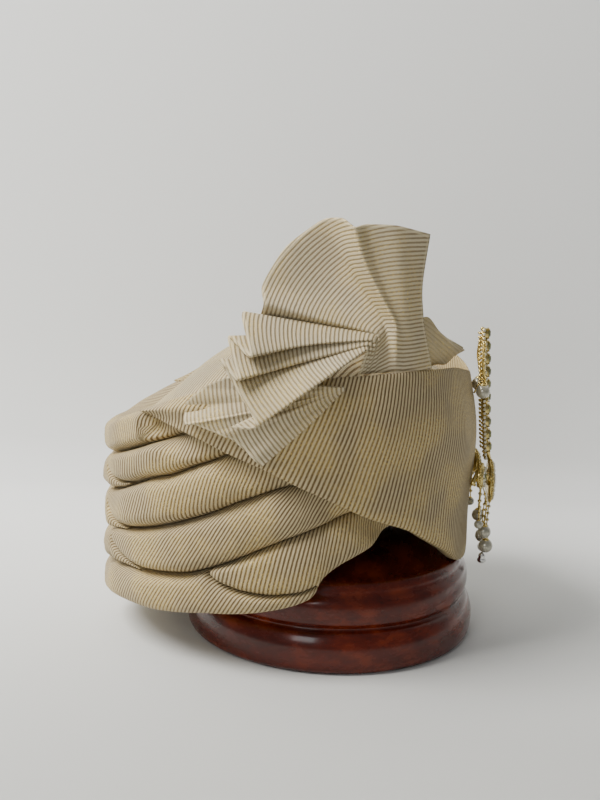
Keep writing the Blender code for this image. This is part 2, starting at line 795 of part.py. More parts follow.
def build_lower_leaf():
    """The fan's last pleat, laid flat against the band."""
    root_turn, root_low, root_high = LEAF_ROOT
    grid = []
    for row in (0.0, 0.25, 0.5, 0.75, 1.0):
        line = []
        for index, (name, turn, share) in enumerate(LEAF_HEM):
            spread = index / (len(LEAF_HEM) - 1)
            start = root_low + (root_high - root_low) * spread
            angle = -(root_turn + (turn - root_turn) * row)
            height = WRAP_FOOT + WRAP_HEIGHT * (start + (share - start) * row)
            lift = 1.7 * FAN_CLOTH + FAN_CLOTH * spread
            line.append(oval(angle, band_outside(angle, height) + lift, height))
        grid.append(line)
    sheet("fan_lower_leaf", grid, [FAN_CLOTH] * len(grid), cloth("fan_lower_leaf"))


def build_front_fold():
    """The other end of the tied cloth, a soft fold that points to the front."""
    start = oval(-58, pad(-58) * 0.6, crease("band top", 58) + 2 * GAP)
    end = oval(-8, pad(-8) * 0.6, 0)
    along = (end - start)
    along.z = 0
    along.normalize()
    out = Vector((along.y, -along.x, 0))
    sections = []
    for name, forward, side, up, width in FRONT_FOLD:
        middle = start + FOLD_LENGTH * (along * forward + out * side)
        middle.z += FOLD_LENGTH * up
        section = []
        for i in range(10):
            turn = 2 * math.pi * i / 10
            section.append(middle + out * (FOLD_CLOTH * math.cos(turn))
                           + Vector((0, 0, 0.5 * FOLD_LENGTH * width * math.sin(turn))))
        sections.append(section)
    add_mesh("front_fold", *loft(sections), cloth("front_fold"))


def brooch_foot():
    """Height of the medallion's lower edge."""
    return WRAP_FOOT + 0.385 * WRAP_HEIGHT


def brooch_height(share):
    """A height on the brooch, from its foot up."""
    return brooch_foot() + share * BROOCH_HEIGHT


def brooch_front(share, side=0.0):
    """A point on the brooch's curved back plane."""
    height = brooch_height(share)
    stand_off = BROOCH_STANDOFF * curve_through(BROOCH_LINE, share)
    centre = HALF_LENGTH - HOLLOW_SETBACK + FRONT_PAD + BAND_LIFT + stand_off
    bend = (side ** 2) / (2 * HALF_WIDTH)
    return Vector((centre - bend, side, height))


def medallion_centre():
    """The middle of the medallion's back."""
    return brooch_front(MEDALLION_SHARE)


def block(points_centre, size):
    """A box mesh as points and faces."""
    points = [points_centre + Vector((x * size[0], y * size[1], z * size[2])) / 2
              for x in (-1, 1) for y in (-1, 1) for z in (-1, 1)]
    faces = [(0, 1, 3, 2), (4, 6, 7, 5), (0, 4, 5, 1), (2, 3, 7, 6), (0, 2, 6, 4), (1, 5, 7, 3)]
    return points, faces


def tube(path, radius, sides=6):
    """A round wire along a path."""
    sections = []
    for i, point in enumerate(path):
        ahead = path[min(i + 1, len(path) - 1)] - path[max(i - 1, 0)]
        ahead.normalize()
        side = ahead.cross(Vector((0, 1, 0.01))).normalized()
        top = ahead.cross(side)
        sections.append([point + radius * (side * math.cos(2 * math.pi * k / sides)
                                           + top * math.sin(2 * math.pi * k / sides))
                         for k in range(sides)])
    return loft(sections)


def disc(centre, radius, depth, sides):
    """A flat round plate whose axis lies along X."""
    sections = []
    for x in (0.0, depth):
        sections.append([centre + Vector((x, radius * math.cos(2 * math.pi * k / sides),
                                          radius * math.sin(2 * math.pi * k / sides)))
                         for k in range(sides)])
    return loft(sections)


def fuse(name, shapes, look):
    """Union overlapping shapes into one soldered body."""
    first, *others = shapes
    body = add_mesh(name, *first, look)
    for index, shape in enumerate(others):
        cutter = add_mesh(f"{name} shape {index}", *shape, look)
        cutter.hide_render = True
        cutter.display_type = "WIRE"
        union = body.modifiers.new(f"union {index}", "BOOLEAN")
        union.operation = "UNION"
        union.object = cutter
    return body


def plume_share(index):
    """Height share of a plume stone's middle."""
    first, last = PLUME_SHARES
    return first + (last - first) * index / (PLUME_STONES - 1)


def plume_pitch():
    """Distance between two plume stones."""
    return (plume_share(1) - plume_share(0)) * BROOCH_HEIGHT


def toward_band(out, side, share, radius):
    """A wire's point: in the brooch's plane at the middle, on the band at full reach."""
    place = side * out * BROOCH_REACH
    point = brooch_front(share, place)
    free = point.x + SPINE_RADIUS
    resting = band_face(place, point.z) + radius * math.cos(math.pi / 6) + GAP
    point.x = max(resting, free + (resting - free) * out ** 2)
    return point


def lobe_back(side):
    """The middle of a lobe's back."""
    return toward_band(LOBE_PLACE[0], side, LOBE_PLACE[1], WING_RADIUS) - Vector((WING_RADIUS, 0, 0))


def hanger(name, side):
    """The wire that a pearl hangs on, from the frame down to just above the pearl."""
    centre, radius = pearl_place(name, side)
    if name in MEDALLION_WIRES:
        aside, below = MEDALLION_WIRES[name]
        root = medallion_centre()
        root += Vector((COLLET_DEPTH * 0.35, side * aside * MEDALLION_RADIUS,
                        -below * MEDALLION_RADIUS))
    else:
        aside, below = LOBE_WIRES[name]
        root = lobe_back(side)
        root += Vector((WING_RADIUS, side * aside * LOBE_RADIUS, -below * LOBE_RADIUS))
    end = centre + Vector((0, 0, radius + GAP))
    bend = Vector((end.x, end.y, (root.z + end.z) / 2))
    return tube([root, bend, end], WIRE_RADIUS, 5)


def build_brooch_frame():
    """The gold frame: spine with collets, medallion, wings and pearl wires."""
    shapes = []
    centre = medallion_centre()
    shapes.append(disc(centre, MEDALLION_RADIUS, COLLET_DEPTH * 0.7, 20))
    spine = [centre + Vector((SPINE_RADIUS, 0, SPINE_FOOT * MEDALLION_RADIUS))]
    spine += [brooch_front(plume_share(index)) + Vector((SPINE_RADIUS, 0, 0))
              for index in [-SPINE_ROOT] + list(range(PLUME_STONES))]
    shapes.append(tube(spine, SPINE_RADIUS, 8))
    for index in range(PLUME_STONES):
        middle = brooch_front(plume_share(index)) + Vector((COLLET_DEPTH * 0.5, 0, 0))
        shapes.append(block(middle, (COLLET_DEPTH, COLLET_WIDTH, 0.86 * plume_pitch())))
    for side in (-1, 1):
        wing = [toward_band(out, side, share, WING_RADIUS)
                for out, share in ((0.35, 0.17), (0.6, 0.24), (0.85, 0.26), (1.0, 0.20))]
        shapes.append(tube(wing, WING_RADIUS, 6))
        sprig = [toward_band(out, side, share, 2 * WIRE_RADIUS)
                 for out, share in ((0.0, 0.58), (0.29, 0.69), (0.52, 0.84), (0.42, 0.95))]
        shapes.append(tube(sprig, 2 * WIRE_RADIUS, 6))
        shapes.append(disc(lobe_back(side), LOBE_RADIUS, 2 * WING_RADIUS, 12))
        shapes += [hanger(name, side) for name in ("middle", "outer", "end")]
    shapes.append(hanger("centre_top", 0))
    fuse("brooch_frame", shapes, gold("brooch_frame"))


def clear_stones():
    """Olive glass for the stones."""
    return material("brooch stones glass", (0.55, 0.52, 0.20), 0.08)


def stone_row(name, middles, ups, size):
    """Cut stones in a row, fused at their girdles; each has a table and facets."""
    width, length = size
    sections = []
    for middle, up in zip(middles, ups):
        for along, wide, high in ((-0.50, 0.40, 0.25), (-0.42, 0.92, 0.45), (-0.22, 0.62, 1.0),
                                  (0.22, 0.62, 1.0), (0.42, 0.92, 0.45), (0.50, 0.40, 0.25)):
            base = middle + up * (along * length)
            across = Vector((1, 0, 0)).cross(up).normalized()
            outward = up.cross(across)
            if outward.x < 0:
                outward = -outward
            sections.append([
                base - across * width * 0.5 * min(wide, 0.8),
                base - across * width * 0.5 * wide + outward * STONE_HEIGHT * 0.5 * high,
                base - across * width * 0.3 * wide + outward * STONE_HEIGHT * high,
                base + across * width * 0.3 * wide + outward * STONE_HEIGHT * high,
                base + across * width * 0.5 * wide + outward * STONE_HEIGHT * 0.5 * high,
                base + across * width * 0.5 * min(wide, 0.8)])
    return add_mesh(name, *loft(sections), clear_stones(), sharp=20)


def build_plume_stones():
    """The plume's stacked stones, in front of their collets."""
    pitch = plume_pitch()
    middles = []
    for index in range(PLUME_STONES):
        front = COLLET_DEPTH + 2 * GAP
        middles.append(brooch_front(plume_share(index)) + Vector((front, 0, 0)))
    ups = [Vector((0, 0, 1))] * PLUME_STONES
    stone_row("brooch_plume_stones", middles, ups, (COLLET_WIDTH * 0.85, pitch * 0.995))


def build_medallion_stone():
    """The round centre stone with its table and two rings of facets."""
    sides = 12
    centre = medallion_centre() + Vector((COLLET_DEPTH * 0.7 + GAP, 0, 0))
    sections = []
    for ahead, share, shift in ((0.0, 0.82, 0.0), (0.35, 1.0, 0.0), (0.75, 0.78, 0.5),
                                (1.0, 0.52, 0.0)):
        ring = []
        for k in range(sides):
            turn = 2 * math.pi * (k + shift) / sides
            ring.append(centre + Vector((ahead * 2 * STONE_HEIGHT,
                                         CENTRE_STONE_RADIUS * share * math.cos(turn),
                                         CENTRE_STONE_RADIUS * share * math.sin(turn))))
        sections.append(ring)
    add_mesh("brooch_centre_stone", *loft(sections),
             material("brooch centre stone glass", (0.75, 0.72, 0.55), 0.05), sharp=15)


def sphere(centre, radius, sides):
    """A round bead."""
    rings = sides // 2
    outline = []
    for ring in range(1, rings):
        turn = math.pi * ring / rings
        outline.append((radius * math.sin(turn), -radius * math.cos(turn)))
    points, faces = lathe(outline, sides)
    points[0].z = -radius
    points[-1].z = radius
    return [point + centre for point in points], faces


def pearl_place(name, side):
    """Centre and radius of a pearl; side is -1 for right, 1 for left, 0 for centre."""
    out, share, stand, size = PEARLS[name]
    radius = size * PEARL_RADIUS
    centre = brooch_front(max(0.0, share), side * out * BROOCH_REACH)
    centre.z = brooch_height(share)
    resting = band_face(centre.y, centre.z) + radius + 2 * GAP
    reach = stand_reach(centre.z - HANGING_SHARE * BROOCH_HEIGHT) + radius + STAND_CLEARANCE
    centre.x = max(resting, centre.x + stand * BROOCH_STANDOFF, reach)
    return centre, radius


def add_pearl(node, centre, radius):
    """One pearl."""
    add_mesh(node, *sphere(centre, radius, PEARL_SIDES), pearl(node), 80)


def build_pearls():
    """Pearls beside the plume and hanging below the medallion, with a last drop."""
    for name in ("upper", "middle", "outer", "end"):
        for label, side in (("right", -1), ("left", 1)):
            add_pearl(f"pearl_{name}_{label}", *pearl_place(name, side))
    centre, radius = pearl_place("centre_top", 0)
    add_pearl("pearl_centre_top", centre, radius)
    for name, size in CENTRE_STRING.items():
        below = size * PEARL_RADIUS
        centre = centre - Vector((0, 0, radius + below + 2 * GAP))
        radius = below
        add_pearl(f"pearl_{name}", centre, radius)
    tip = centre - Vector((0, 0, radius + 2 * GAP))
    rows = ((0.18, 1.0), (0.55, 0.75), (0.62, 0.45), (0.45, 0.15), (0.15, 0.0))
    outline = [(wide * 0.5 * DROP_HEIGHT, (high - 1.0) * DROP_HEIGHT)
               for wide, high in reversed(rows)]
    points, faces = lathe(outline, PEARL_SIDES)
    add_mesh("brooch_drop", [point + tip for point in points], faces,
             material("brooch_drop metal", (0.80, 0.78, 0.74), 0.2, 1.0))


def build_brooch_pin():
    """The wire hook that pins the brooch to the band."""
    top = brooch_front(0.70)
    low = brooch_front(0.52)
    tip_height = low.lerp(top, 0.75).z
    tip = band_face(0, tip_height) + WIRE_RADIUS + 2 * GAP
    back = -(WIRE_RADIUS + 2 * GAP)
    path = [low + Vector((back, 0, 0)), low.lerp(top, 0.5) + Vector((back, 0, 0)),
            Vector(((low.x + back + tip) / 2, 0, top.z)), Vector((tip, 0, tip_height))]
    add_mesh("brooch_pin", *tube(path, WIRE_RADIUS), gold("brooch_pin"))


def main():
    for old in list(bpy.data.objects):
        bpy.data.objects.remove(old)
    build_stand_base()
    build_stand_post()
    build_stand_head()
    build_crown()
    build_rolls()
    build_front_band()
    build_fan()
    build_lower_leaf()
    build_front_fold()
    build_brooch_frame()
    build_plume_stones()
    build_medallion_stone()
    build_pearls()
    build_brooch_pin()


main()
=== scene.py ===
"""Looks of the tied turban pagri with its front brooch, on a turned wooden stand.

Lengths are in metres. +X is the turban's front, -Y its right side and +Z is up.
"""
import json
import math

import bmesh
import bpy
import numpy as np
from mathutils import Matrix, Vector


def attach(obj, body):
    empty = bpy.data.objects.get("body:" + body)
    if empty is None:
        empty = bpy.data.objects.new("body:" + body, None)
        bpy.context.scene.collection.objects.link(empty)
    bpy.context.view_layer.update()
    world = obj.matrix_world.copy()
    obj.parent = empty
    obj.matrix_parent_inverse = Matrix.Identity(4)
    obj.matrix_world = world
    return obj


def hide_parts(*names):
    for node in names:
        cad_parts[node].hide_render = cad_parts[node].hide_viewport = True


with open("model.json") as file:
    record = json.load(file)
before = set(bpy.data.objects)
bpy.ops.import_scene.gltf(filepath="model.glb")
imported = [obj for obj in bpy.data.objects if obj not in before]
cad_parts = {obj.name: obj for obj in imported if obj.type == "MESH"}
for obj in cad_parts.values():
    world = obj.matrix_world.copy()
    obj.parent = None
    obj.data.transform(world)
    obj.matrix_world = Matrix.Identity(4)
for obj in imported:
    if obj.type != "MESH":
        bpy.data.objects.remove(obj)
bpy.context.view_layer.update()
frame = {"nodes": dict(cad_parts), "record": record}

# The sizes of the solids that these pieces stand for
STAND_RADIUS = 0.102
STAND_HEIGHT = 0.061
STAND_CLEARANCE = 0.0015
HALF_LENGTH = 0.100
HALF_WIDTH = 0.078
HOLLOW_SETBACK = 0.014
FRONT_PAD = 0.009
SIDE_PAD = 0.035
BACK_PAD = 0.048
LEFT_DROP = 0.0085
WRAP_FOOT = 0.017
WRAP_HEIGHT = 0.182
WRAP_TOP = WRAP_FOOT + WRAP_HEIGHT
CROWN_WALL = 0.003
CROWN_RISE = 0.021
CROWN_DEPTH = 0.006
CROWN_FRONT_SLOPE = 0.7
CROWN_INNER_FULLNESS = 0.8
CROWN_INNER_RIM = 0.70
CROWN_BACK_REACH = 0.42
BAND_WALL = 0.005
BAND_LIFT = 0.0015
BAND_BULGE = 0.0045
BAND_SWELL_POWER = 1.7
BAND_LEAN = 0.0045
BAND_EDGE_ROUND = 0.6
BAND_DIVE = 0.008
BAND_END = 143.0
THIN_RECESS = 0.006
ROLL_POWER = 0.5
FAN_REACH = 0.106
FAN_CLOTH = 0.0012
FAN_WAIST_CLOTH = 0.0008
FOLD_LENGTH = 0.046
FOLD_CLOTH = 0.0024
BROOCH_HEIGHT = 0.128
BROOCH_STANDOFF = 0.006
COLLET_DEPTH = 0.0034
COLLET_WIDTH = 0.0062
PLUME_STONES = 10
MEDALLION_RADIUS = 0.0155
SPINE_RADIUS = 0.0015
WING_RADIUS = 0.0022
LOBE_RADIUS = 0.0085
BROOCH_REACH = 0.030
PEARL_RADIUS = 0.0050
CENTRE_STONE_RADIUS = 0.0085
STONE_HEIGHT = 0.0016
BEAD_RADIUS = 0.0012
WIRE_RADIUS = 0.0007
DROP_HEIGHT = 0.0085
FIT = 0.0004
PLUMP = 0.0007

# Room between neighbours that must not touch
CLEAR = 1.5 * FIT

# Cloth pattern: ribs and threads, and the wound cloth's mean radius
RIB_PITCH = 0.0028
THREAD_PITCH = 0.0006
MEAN_RADIUS = 0.11

# Fineness of the grids
STEPS_PER_DEGREE = 1.6
FOOT_ROWS = 8

STAND_OUTLINE = (
    ("foot", 0.955, 0.00), ("foot edge", 0.988, 0.05), ("lower tier", 1.000, 0.16),
    ("lower tier top", 0.996, 0.30), ("lower shoulder", 0.966, 0.43), ("lower groove", 0.926, 0.48),
    ("middle tier foot", 0.948, 0.55), ("middle tier", 0.958, 0.66), ("middle shoulder", 0.946, 0.78),
    ("upper groove", 0.914, 0.854), ("upper tier", 0.905, 0.91), ("upper edge", 0.880, 0.97),
    ("top", 0.817, 1.00), ("dome foot", 0.720, 1.07), ("dome side", 0.560, 1.17), ("dome", 0.360, 1.24),
    ("neck", 0.200, 1.27),
)

# Crease heights round the wrap: degrees from the front, share of WRAP_HEIGHT
CREASES = {
    "band foot": ((0, 0.20), (24, 0.24), (38, 0.315), (48, 0.37), (58, 0.43), (72, 0.49),
                  (86, 0.571), (94, 0.615), (103, 0.668), (113, 0.714), (122, 0.757),
                  (134, 0.785), (143, 0.80)),
    "band top": ((0, 0.93), (20, 0.962), (37, 0.99), (60, 1.0), (80, 0.995), (100, 0.975),
                 (115, 0.94), (128, 0.893), (136, 0.855), (143, 0.82)),
    "wrap top": ((0, 0.85), (25, 0.875), (45, 0.925), (60, 0.95), (80, 0.94), (100, 0.92),
                 (120, 0.885), (134, 0.85), (146, 0.81), (156, 0.77), (168, 0.715), (180, 0.70)),
    "crease 1": ((60, 0.90), (75, 0.89), (95, 0.87), (115, 0.82), (129, 0.758), (133, 0.737),
                 (143, 0.69), (156, 0.633), (172, 0.577), (180, 0.57)),
    "crease 2": ((60, 0.84), (80, 0.82), (100, 0.77), (114, 0.704), (119, 0.676), (125, 0.646),
                 (133, 0.60), (141, 0.571), (148, 0.536), (160, 0.48), (172, 0.446), (180, 0.44)),
    "crease 3": ((60, 0.74), (80, 0.68), (94, 0.607), (102, 0.579), (111, 0.535), (120, 0.482),
                 (130, 0.432), (142, 0.381), (165, 0.309), (172, 0.288), (180, 0.285)),
    "crease 4": ((60, 0.57), (66, 0.55), (76, 0.507), (84, 0.475), (93, 0.43), (97, 0.41),
                 (106, 0.359), (113, 0.316), (120, 0.28), (127, 0.25), (136, 0.23), (148, 0.215),
                 (160, 0.20), (172, 0.152), (180, 0.15)),
    "crease 5": ((82, 0.305), (86, 0.259), (92, 0.225), (97, 0.215), (101, 0.212), (108, 0.22),
                 (113, 0.236), (120, 0.28)),
    "wrap foot": ((60, 0.43), (63, 0.42), (68, 0.394), (75, 0.351), (81, 0.313), (85, 0.275),
                  (89, 0.208), (95, 0.178), (101, 0.16), (110, 0.136), (120, 0.115), (131, 0.09),
                  (143, 0.07), (155, 0.058), (168, 0.03), (180, 0.0)),
}

# How far each crease sits lower on the left side: share of LEFT_DROP
LEFT_DROPS = {"band foot": 1.0, "band top": 1.0, "wrap top": 1.0, "crease 1": 0.8,
              "crease 2": 0.5, "crease 3": 0.3}

# A roll's lower and upper crease
ROLL_CREASES = {
    "roll_1": ("crease 1", "wrap top"),
    "roll_2": ("crease 2", "crease 1"),
    "roll_3": ("crease 3", "crease 2"),
    "roll_4": ("crease 4", "crease 3"),
    "roll_5": ("crease 5", "crease 4"),
    "roll_6": ("wrap foot", "crease 4"),
}

# Where a right roll's rounded end is tucked: degrees from the front
TUCKS = {
    "roll_2": (147, 165),
    "roll_3": (150, 166),
    "roll_4": (141, 160),
}

# Rolls: roll, its first and last turn going round the back, and the lean of its ribs
ROLLS = {
    "roll_1": ("roll_1", 60, 300, 0.20),
    "roll_2_right": ("roll_2", 60, 164.5, 0.14),
    "roll_2_left": ("roll_2", 150.5, 300, 0.14),
    "roll_3_right": ("roll_3", 60, 165.5, 0.28),
    "roll_3_left": ("roll_3", 153.0, 300, 0.28),
    "roll_4_right": ("roll_4", 60, 159.5, 0.62),
    "roll_4_left": ("roll_4", 144.5, 300, 0.62),
    "roll_5_right": ("roll_5", 60, 118, 0.22),
    "roll_5_left": ("roll_5", 242, 300, 0.22),
    "roll_6": ("roll_6", 87, 273, 0.62),
}

# Fan folds, front edge first: shares of FAN_REACH to the front, to the near side
# and up from the pinch, at the hem, half way, at the waist and at the foot
FAN_FOLDS = (
    ("front edge", (0.24, -0.09, 0.59), (0.21, -0.09, 0.29), (0.23, -0.11, 0.07), (0.30, -0.17)),
    ("front leaf", (0.04, 0.00, 0.64), (0.08, 0.00, 0.38), (0.14, -0.02, 0.06), (0.21, -0.08)),
    ("notch front", (-0.14, 0.02, 0.64), (-0.06, 0.00, 0.38), (0.09, 0.00, 0.06), (0.13, -0.03)),
    ("notch", (-0.20, 0.08, 0.62), (-0.12, 0.05, 0.39), (0.07, 0.03, 0.07), (0.08, 0.01)),
    ("notch back", (-0.27, 0.00, 0.67), (-0.21, -0.04, 0.41), (0.02, -0.02, 0.06), (0.04, 0.02)),
    ("crest", (-0.38, -0.08, 0.66), (-0.25, -0.09, 0.41), (0.01, -0.02, 0.04), (0.00, 0.04)),
    ("great leaf", (-0.60, -0.08, 0.49), (-0.34, -0.08, 0.27), (0.00, 0.00, 0.03), (-0.03, 0.05)),
    ("leaf foot", (-0.73, -0.04, 0.26), (-0.45, -0.04, 0.19), (-0.010, 0.010, 0.021), (-0.045, 0.055)),
    ("ridge 1", (-0.70, 0.08, 0.17), (-0.38, 0.06, 0.09), (-0.020, 0.026, 0.012), (-0.055, 0.065)),
    ("valley 1", (-0.73, -0.02, 0.07), (-0.38, 0.00, 0.05), (-0.028, 0.026, 0.008), (-0.067, 0.068)),
    ("back 2", (-0.84, 0.08, 0.13), (-0.44, 0.05, 0.06), (-0.034, 0.038, 0.002), (-0.078, 0.073)),
    ("ridge 2", (-0.73, 0.38, -0.13), (-0.43, 0.19, -0.06), (-0.042, 0.060, -0.016), (-0.089, 0.080)),
    ("back 3", (-0.92, 0.11, 0.01), (-0.49, 0.08, 0.01), (-0.058, 0.054, -0.019), (-0.100, 0.083)),
    ("ridge 3", (-0.79, 0.41, -0.26), (-0.45, 0.22, -0.15), (-0.061, 0.078, -0.036), (-0.111, 0.090)),
    ("back 4", (-0.97, 0.18, -0.11), (-0.54, 0.12, -0.12), (-0.078, 0.070, -0.037), (-0.122, 0.093)),
    ("ridge 4", (-0.67, 0.46, -0.49), (-0.42, 0.38, -0.28), (-0.080, 0.096, -0.056), (-0.133, 0.100)),
    ("back edge", (-0.85, 0.38, -0.50), (-0.47, 0.34, -0.30), (-0.096, 0.090, -0.062), (-0.144, 0.103)),
)

# The pinch: degrees from the front, shares of FAN_REACH out of and above the band
PINCH = (-69.0, -0.075, 0.215)

# Lower leaf: degrees from the front and share of WRAP_HEIGHT, at the hem
LEAF_HEM = (
    ("point", 103.0, 0.687), ("foot", 106.5, 0.729), ("foot rise", 111.0, 0.780),
    ("step", 115.0, 0.797), ("fold", 120.6, 0.821), ("back point", 123.5, 0.815),
    ("back", 125.0, 0.873), ("upper back", 119.0, 0.945), ("top", 113.0, 0.985),
)
LEAF_ROOT = (82.0, 0.955, 0.965)

# Front fold: shares of FOLD_LENGTH along, out and up, and its width share
FRONT_FOLD = (
    (0.00, 0.00, 0.15, 0.34), (0.06, 0.03, 0.30, 0.62), (0.30, 0.05, 0.33, 0.74),
    (0.62, 0.04, 0.24, 0.50), (0.95, 0.02, 0.16, 0.38), (1.42, 0.00, 0.13, 0.06),
)

# The brooch's side outline: share of BROOCH_HEIGHT above its foot, stand-off share
BROOCH_LINE = ((0.00, 1.92), (0.16, 2.02), (0.33, 1.45), (0.60, 0.95), (0.88, 0.57), (1.00, 0.37))
BROOCH_FOOT = 0.385
MEDALLION_SHARE = 0.165
SPINE_FOOT = 0.7
PLUME_SHARES = (0.36, 0.985)

# Pearls: side share of BROOCH_REACH, height share of BROOCH_HEIGHT, stand-off and radius shares
PEARLS = {
    "upper": (0.499, 0.686, -0.10, 0.96), "middle": (0.401, -0.180, 0.25, 1.00),
    "outer": (0.683, -0.080, 0.10, 0.92), "end": (0.960, -0.020, -0.35, 0.62),
    "centre_top": (0.0, -0.100, 0.0, 0.62),
}

# Pearls strung close below the centre one: radius shares
CENTRE_STRING = {"centre_middle": 0.68, "centre_low": 0.72}
PEARL_WIRE = 0.7 * WIRE_RADIUS

# Wire roots: shares of the medallion's or the lobe's radius, outward and down
MEDALLION_WIRES = {"middle": (0.55, 0.74), "centre_top": (0.0, 0.80)}
LOBE_WIRES = {"outer": (-0.21, 0.30), "end": (0.49, 0.30)}
LOBE_PLACE = (0.72, 0.235)


def smooth_step(low, high, value):
    """Ease from 0 at low to 1 at high."""
    share = np.clip((value - low) / (high - low), 0.0, 1.0)
    return share * share * (3 - 2 * share)


def curve_through(rows, value):
    """A cubic through (place, height) rows; its slopes are harmonic means, so it never overshoots."""
    place = np.array([row[0] for row in rows], float)
    height = np.array([row[1] for row in rows], float)
    slope = np.diff(height) / np.diff(place)
    before, after = slope[:-1], slope[1:]
    total = np.where(before * after > 0, before + after, 1.0)
    inner = np.where(before * after > 0, 2 * before * after / total, 0.0)
    tangent = np.concatenate([slope[:1], inner, slope[-1:]])
    value = np.clip(value, place[0], place[-1])
    index = np.clip(np.searchsorted(place, value) - 1, 0, len(place) - 2)
    span = place[index + 1] - place[index]
    t = (value - place[index]) / span
    return ((2 * t ** 3 - 3 * t ** 2 + 1) * height[index]
            + (t ** 3 - 2 * t ** 2 + t) * span * tangent[index]
            + (3 * t ** 2 - 2 * t ** 3) * height[index + 1]
            + (t ** 3 - t ** 2) * span * tangent[index + 1])


def crease(name, angle):
    """Height of a crease at some degrees from the front; the left side is positive and sits lower."""
    turn = np.abs(angle)
    held = smooth_step(95, 125, turn) * (1 - smooth_step(150, 180, turn)) * (np.asarray(angle) > 0)
    return (WRAP_FOOT + WRAP_HEIGHT * curve_through(CREASES[name], turn)
            - LEFT_DROP * LEFT_DROPS.get(name, 0.0) * held)


def oval(angle, distance, height):
    """Points some distance out from the hollow's oval wall: the ellipse plus distance times its normal."""
    turn = np.radians(angle)
    across, side = np.cos(turn) / HALF_LENGTH, np.sin(turn) / HALF_WIDTH
    length = np.hypot(across, side)
    x = HALF_LENGTH * np.cos(turn) - HOLLOW_SETBACK + distance * across / length
    y = HALF_WIDTH * np.sin(turn) + distance * side / length
    return np.stack(np.broadcast_arrays(x, y, height), axis=-1)


def pad(angle):
    """How far the wound cloth stands out: front to back by a cosine, plus a sine squared at the sides."""
    turn = np.radians(angle)
    middle = (FRONT_PAD + BACK_PAD) / 2
    return (FRONT_PAD + (BACK_PAD - FRONT_PAD) * (1 - np.cos(turn)) / 2
            + (SIDE_PAD - middle) * np.sin(turn) ** 2)


def band_pad(angle):
    """The band lies on the wound cloth and dives into it at its tucked ends."""
    return pad(angle) - BAND_DIVE * smooth_step(120, BAND_END, np.abs(angle))


def band_inside(angle):
    """The band's inner face: on the wall in front, over the rolls at the sides."""
    front = CROWN_WALL + CLEAR
    over_rolls = band_pad(angle) - BAND_WALL
    return front + (over_rolls - front) * smooth_step(50, 80, np.abs(angle))


def band_swell(share):
    """How far the band's middle swells out, at a share of its height."""
    return BAND_BULGE * np.sin(math.pi * np.clip(share, 0.0, 1.0) ** BAND_SWELL_POWER) ** 2


def band_outside(angle, height):
    """How far the band's outer face is from the hollow's wall."""
    low = crease("band foot", angle)
    share = (height - low) / (crease("band top", angle) - low)
    lean = BAND_LEAN * share * (1 - smooth_step(30, 75, np.abs(angle)))
    return band_pad(angle) + BAND_LIFT + band_swell(share) - lean


def stand_reach(height):
    """The stand's largest radius at or above each height."""
    reach = np.zeros_like(height)
    for _, radius, share in STAND_OUTLINE:
        above = share * STAND_HEIGHT >= height - 2 * STAND_CLEARANCE
        reach = np.maximum(reach, np.where(above, radius * STAND_RADIUS, 0.0))
    return reach


def clear_of_stand(angle, height, distance):
    """Move a wall out until it clears the stand's tiers."""
    reach = stand_reach(height) + STAND_CLEARANCE
    for _ in range(6):
        place = oval(angle, distance, height)
        distance = distance + np.maximum(0.0, reach - np.hypot(place[..., 0], place[..., 1]))
    return distance


def arc(points, axis):
    """Length walked along one axis of a grid of points, from its first row or column."""
    step = np.linalg.norm(np.diff(points, axis=axis), axis=-1)
    start = np.zeros_like(np.take(step, [0], axis=axis))
    return np.concatenate([start, np.cumsum(step, axis=axis)], axis=axis)


def soft_waves(along, across, size):
    """Small uneven swells of hand-wound cloth: three sines of unlike wavelengths, in metres."""
    return size * (np.sin(along * 92.0 + across * 140.0 + 0.7)
                   + 0.7 * np.sin(along * 171.0 - across * 60.0 + 2.1)
                   + 0.5 * np.sin(along * 43.0 + across * 260.0 + 4.0)) / 2.2


class Number:
    """A shader number. An expression on it adds the Math nodes that work it out."""

    def __init__(self, look, socket):
        self.look = look
        self.socket = socket

    def __add__(self, other):
        return self.look.sum("ADD", self, other)

    def __sub__(self, other):
        return self.look.sum("SUBTRACT", self, other)

    def __rsub__(self, other):
        return self.look.sum("SUBTRACT", other, self)

    def __mul__(self, other):
        return self.look.sum("MULTIPLY", self, other)

    def output(self, index):
        """Another output of the same node."""
        return Number(self.look, self.socket.node.outputs[index])

    __radd__ = __add__
    __rmul__ = __mul__


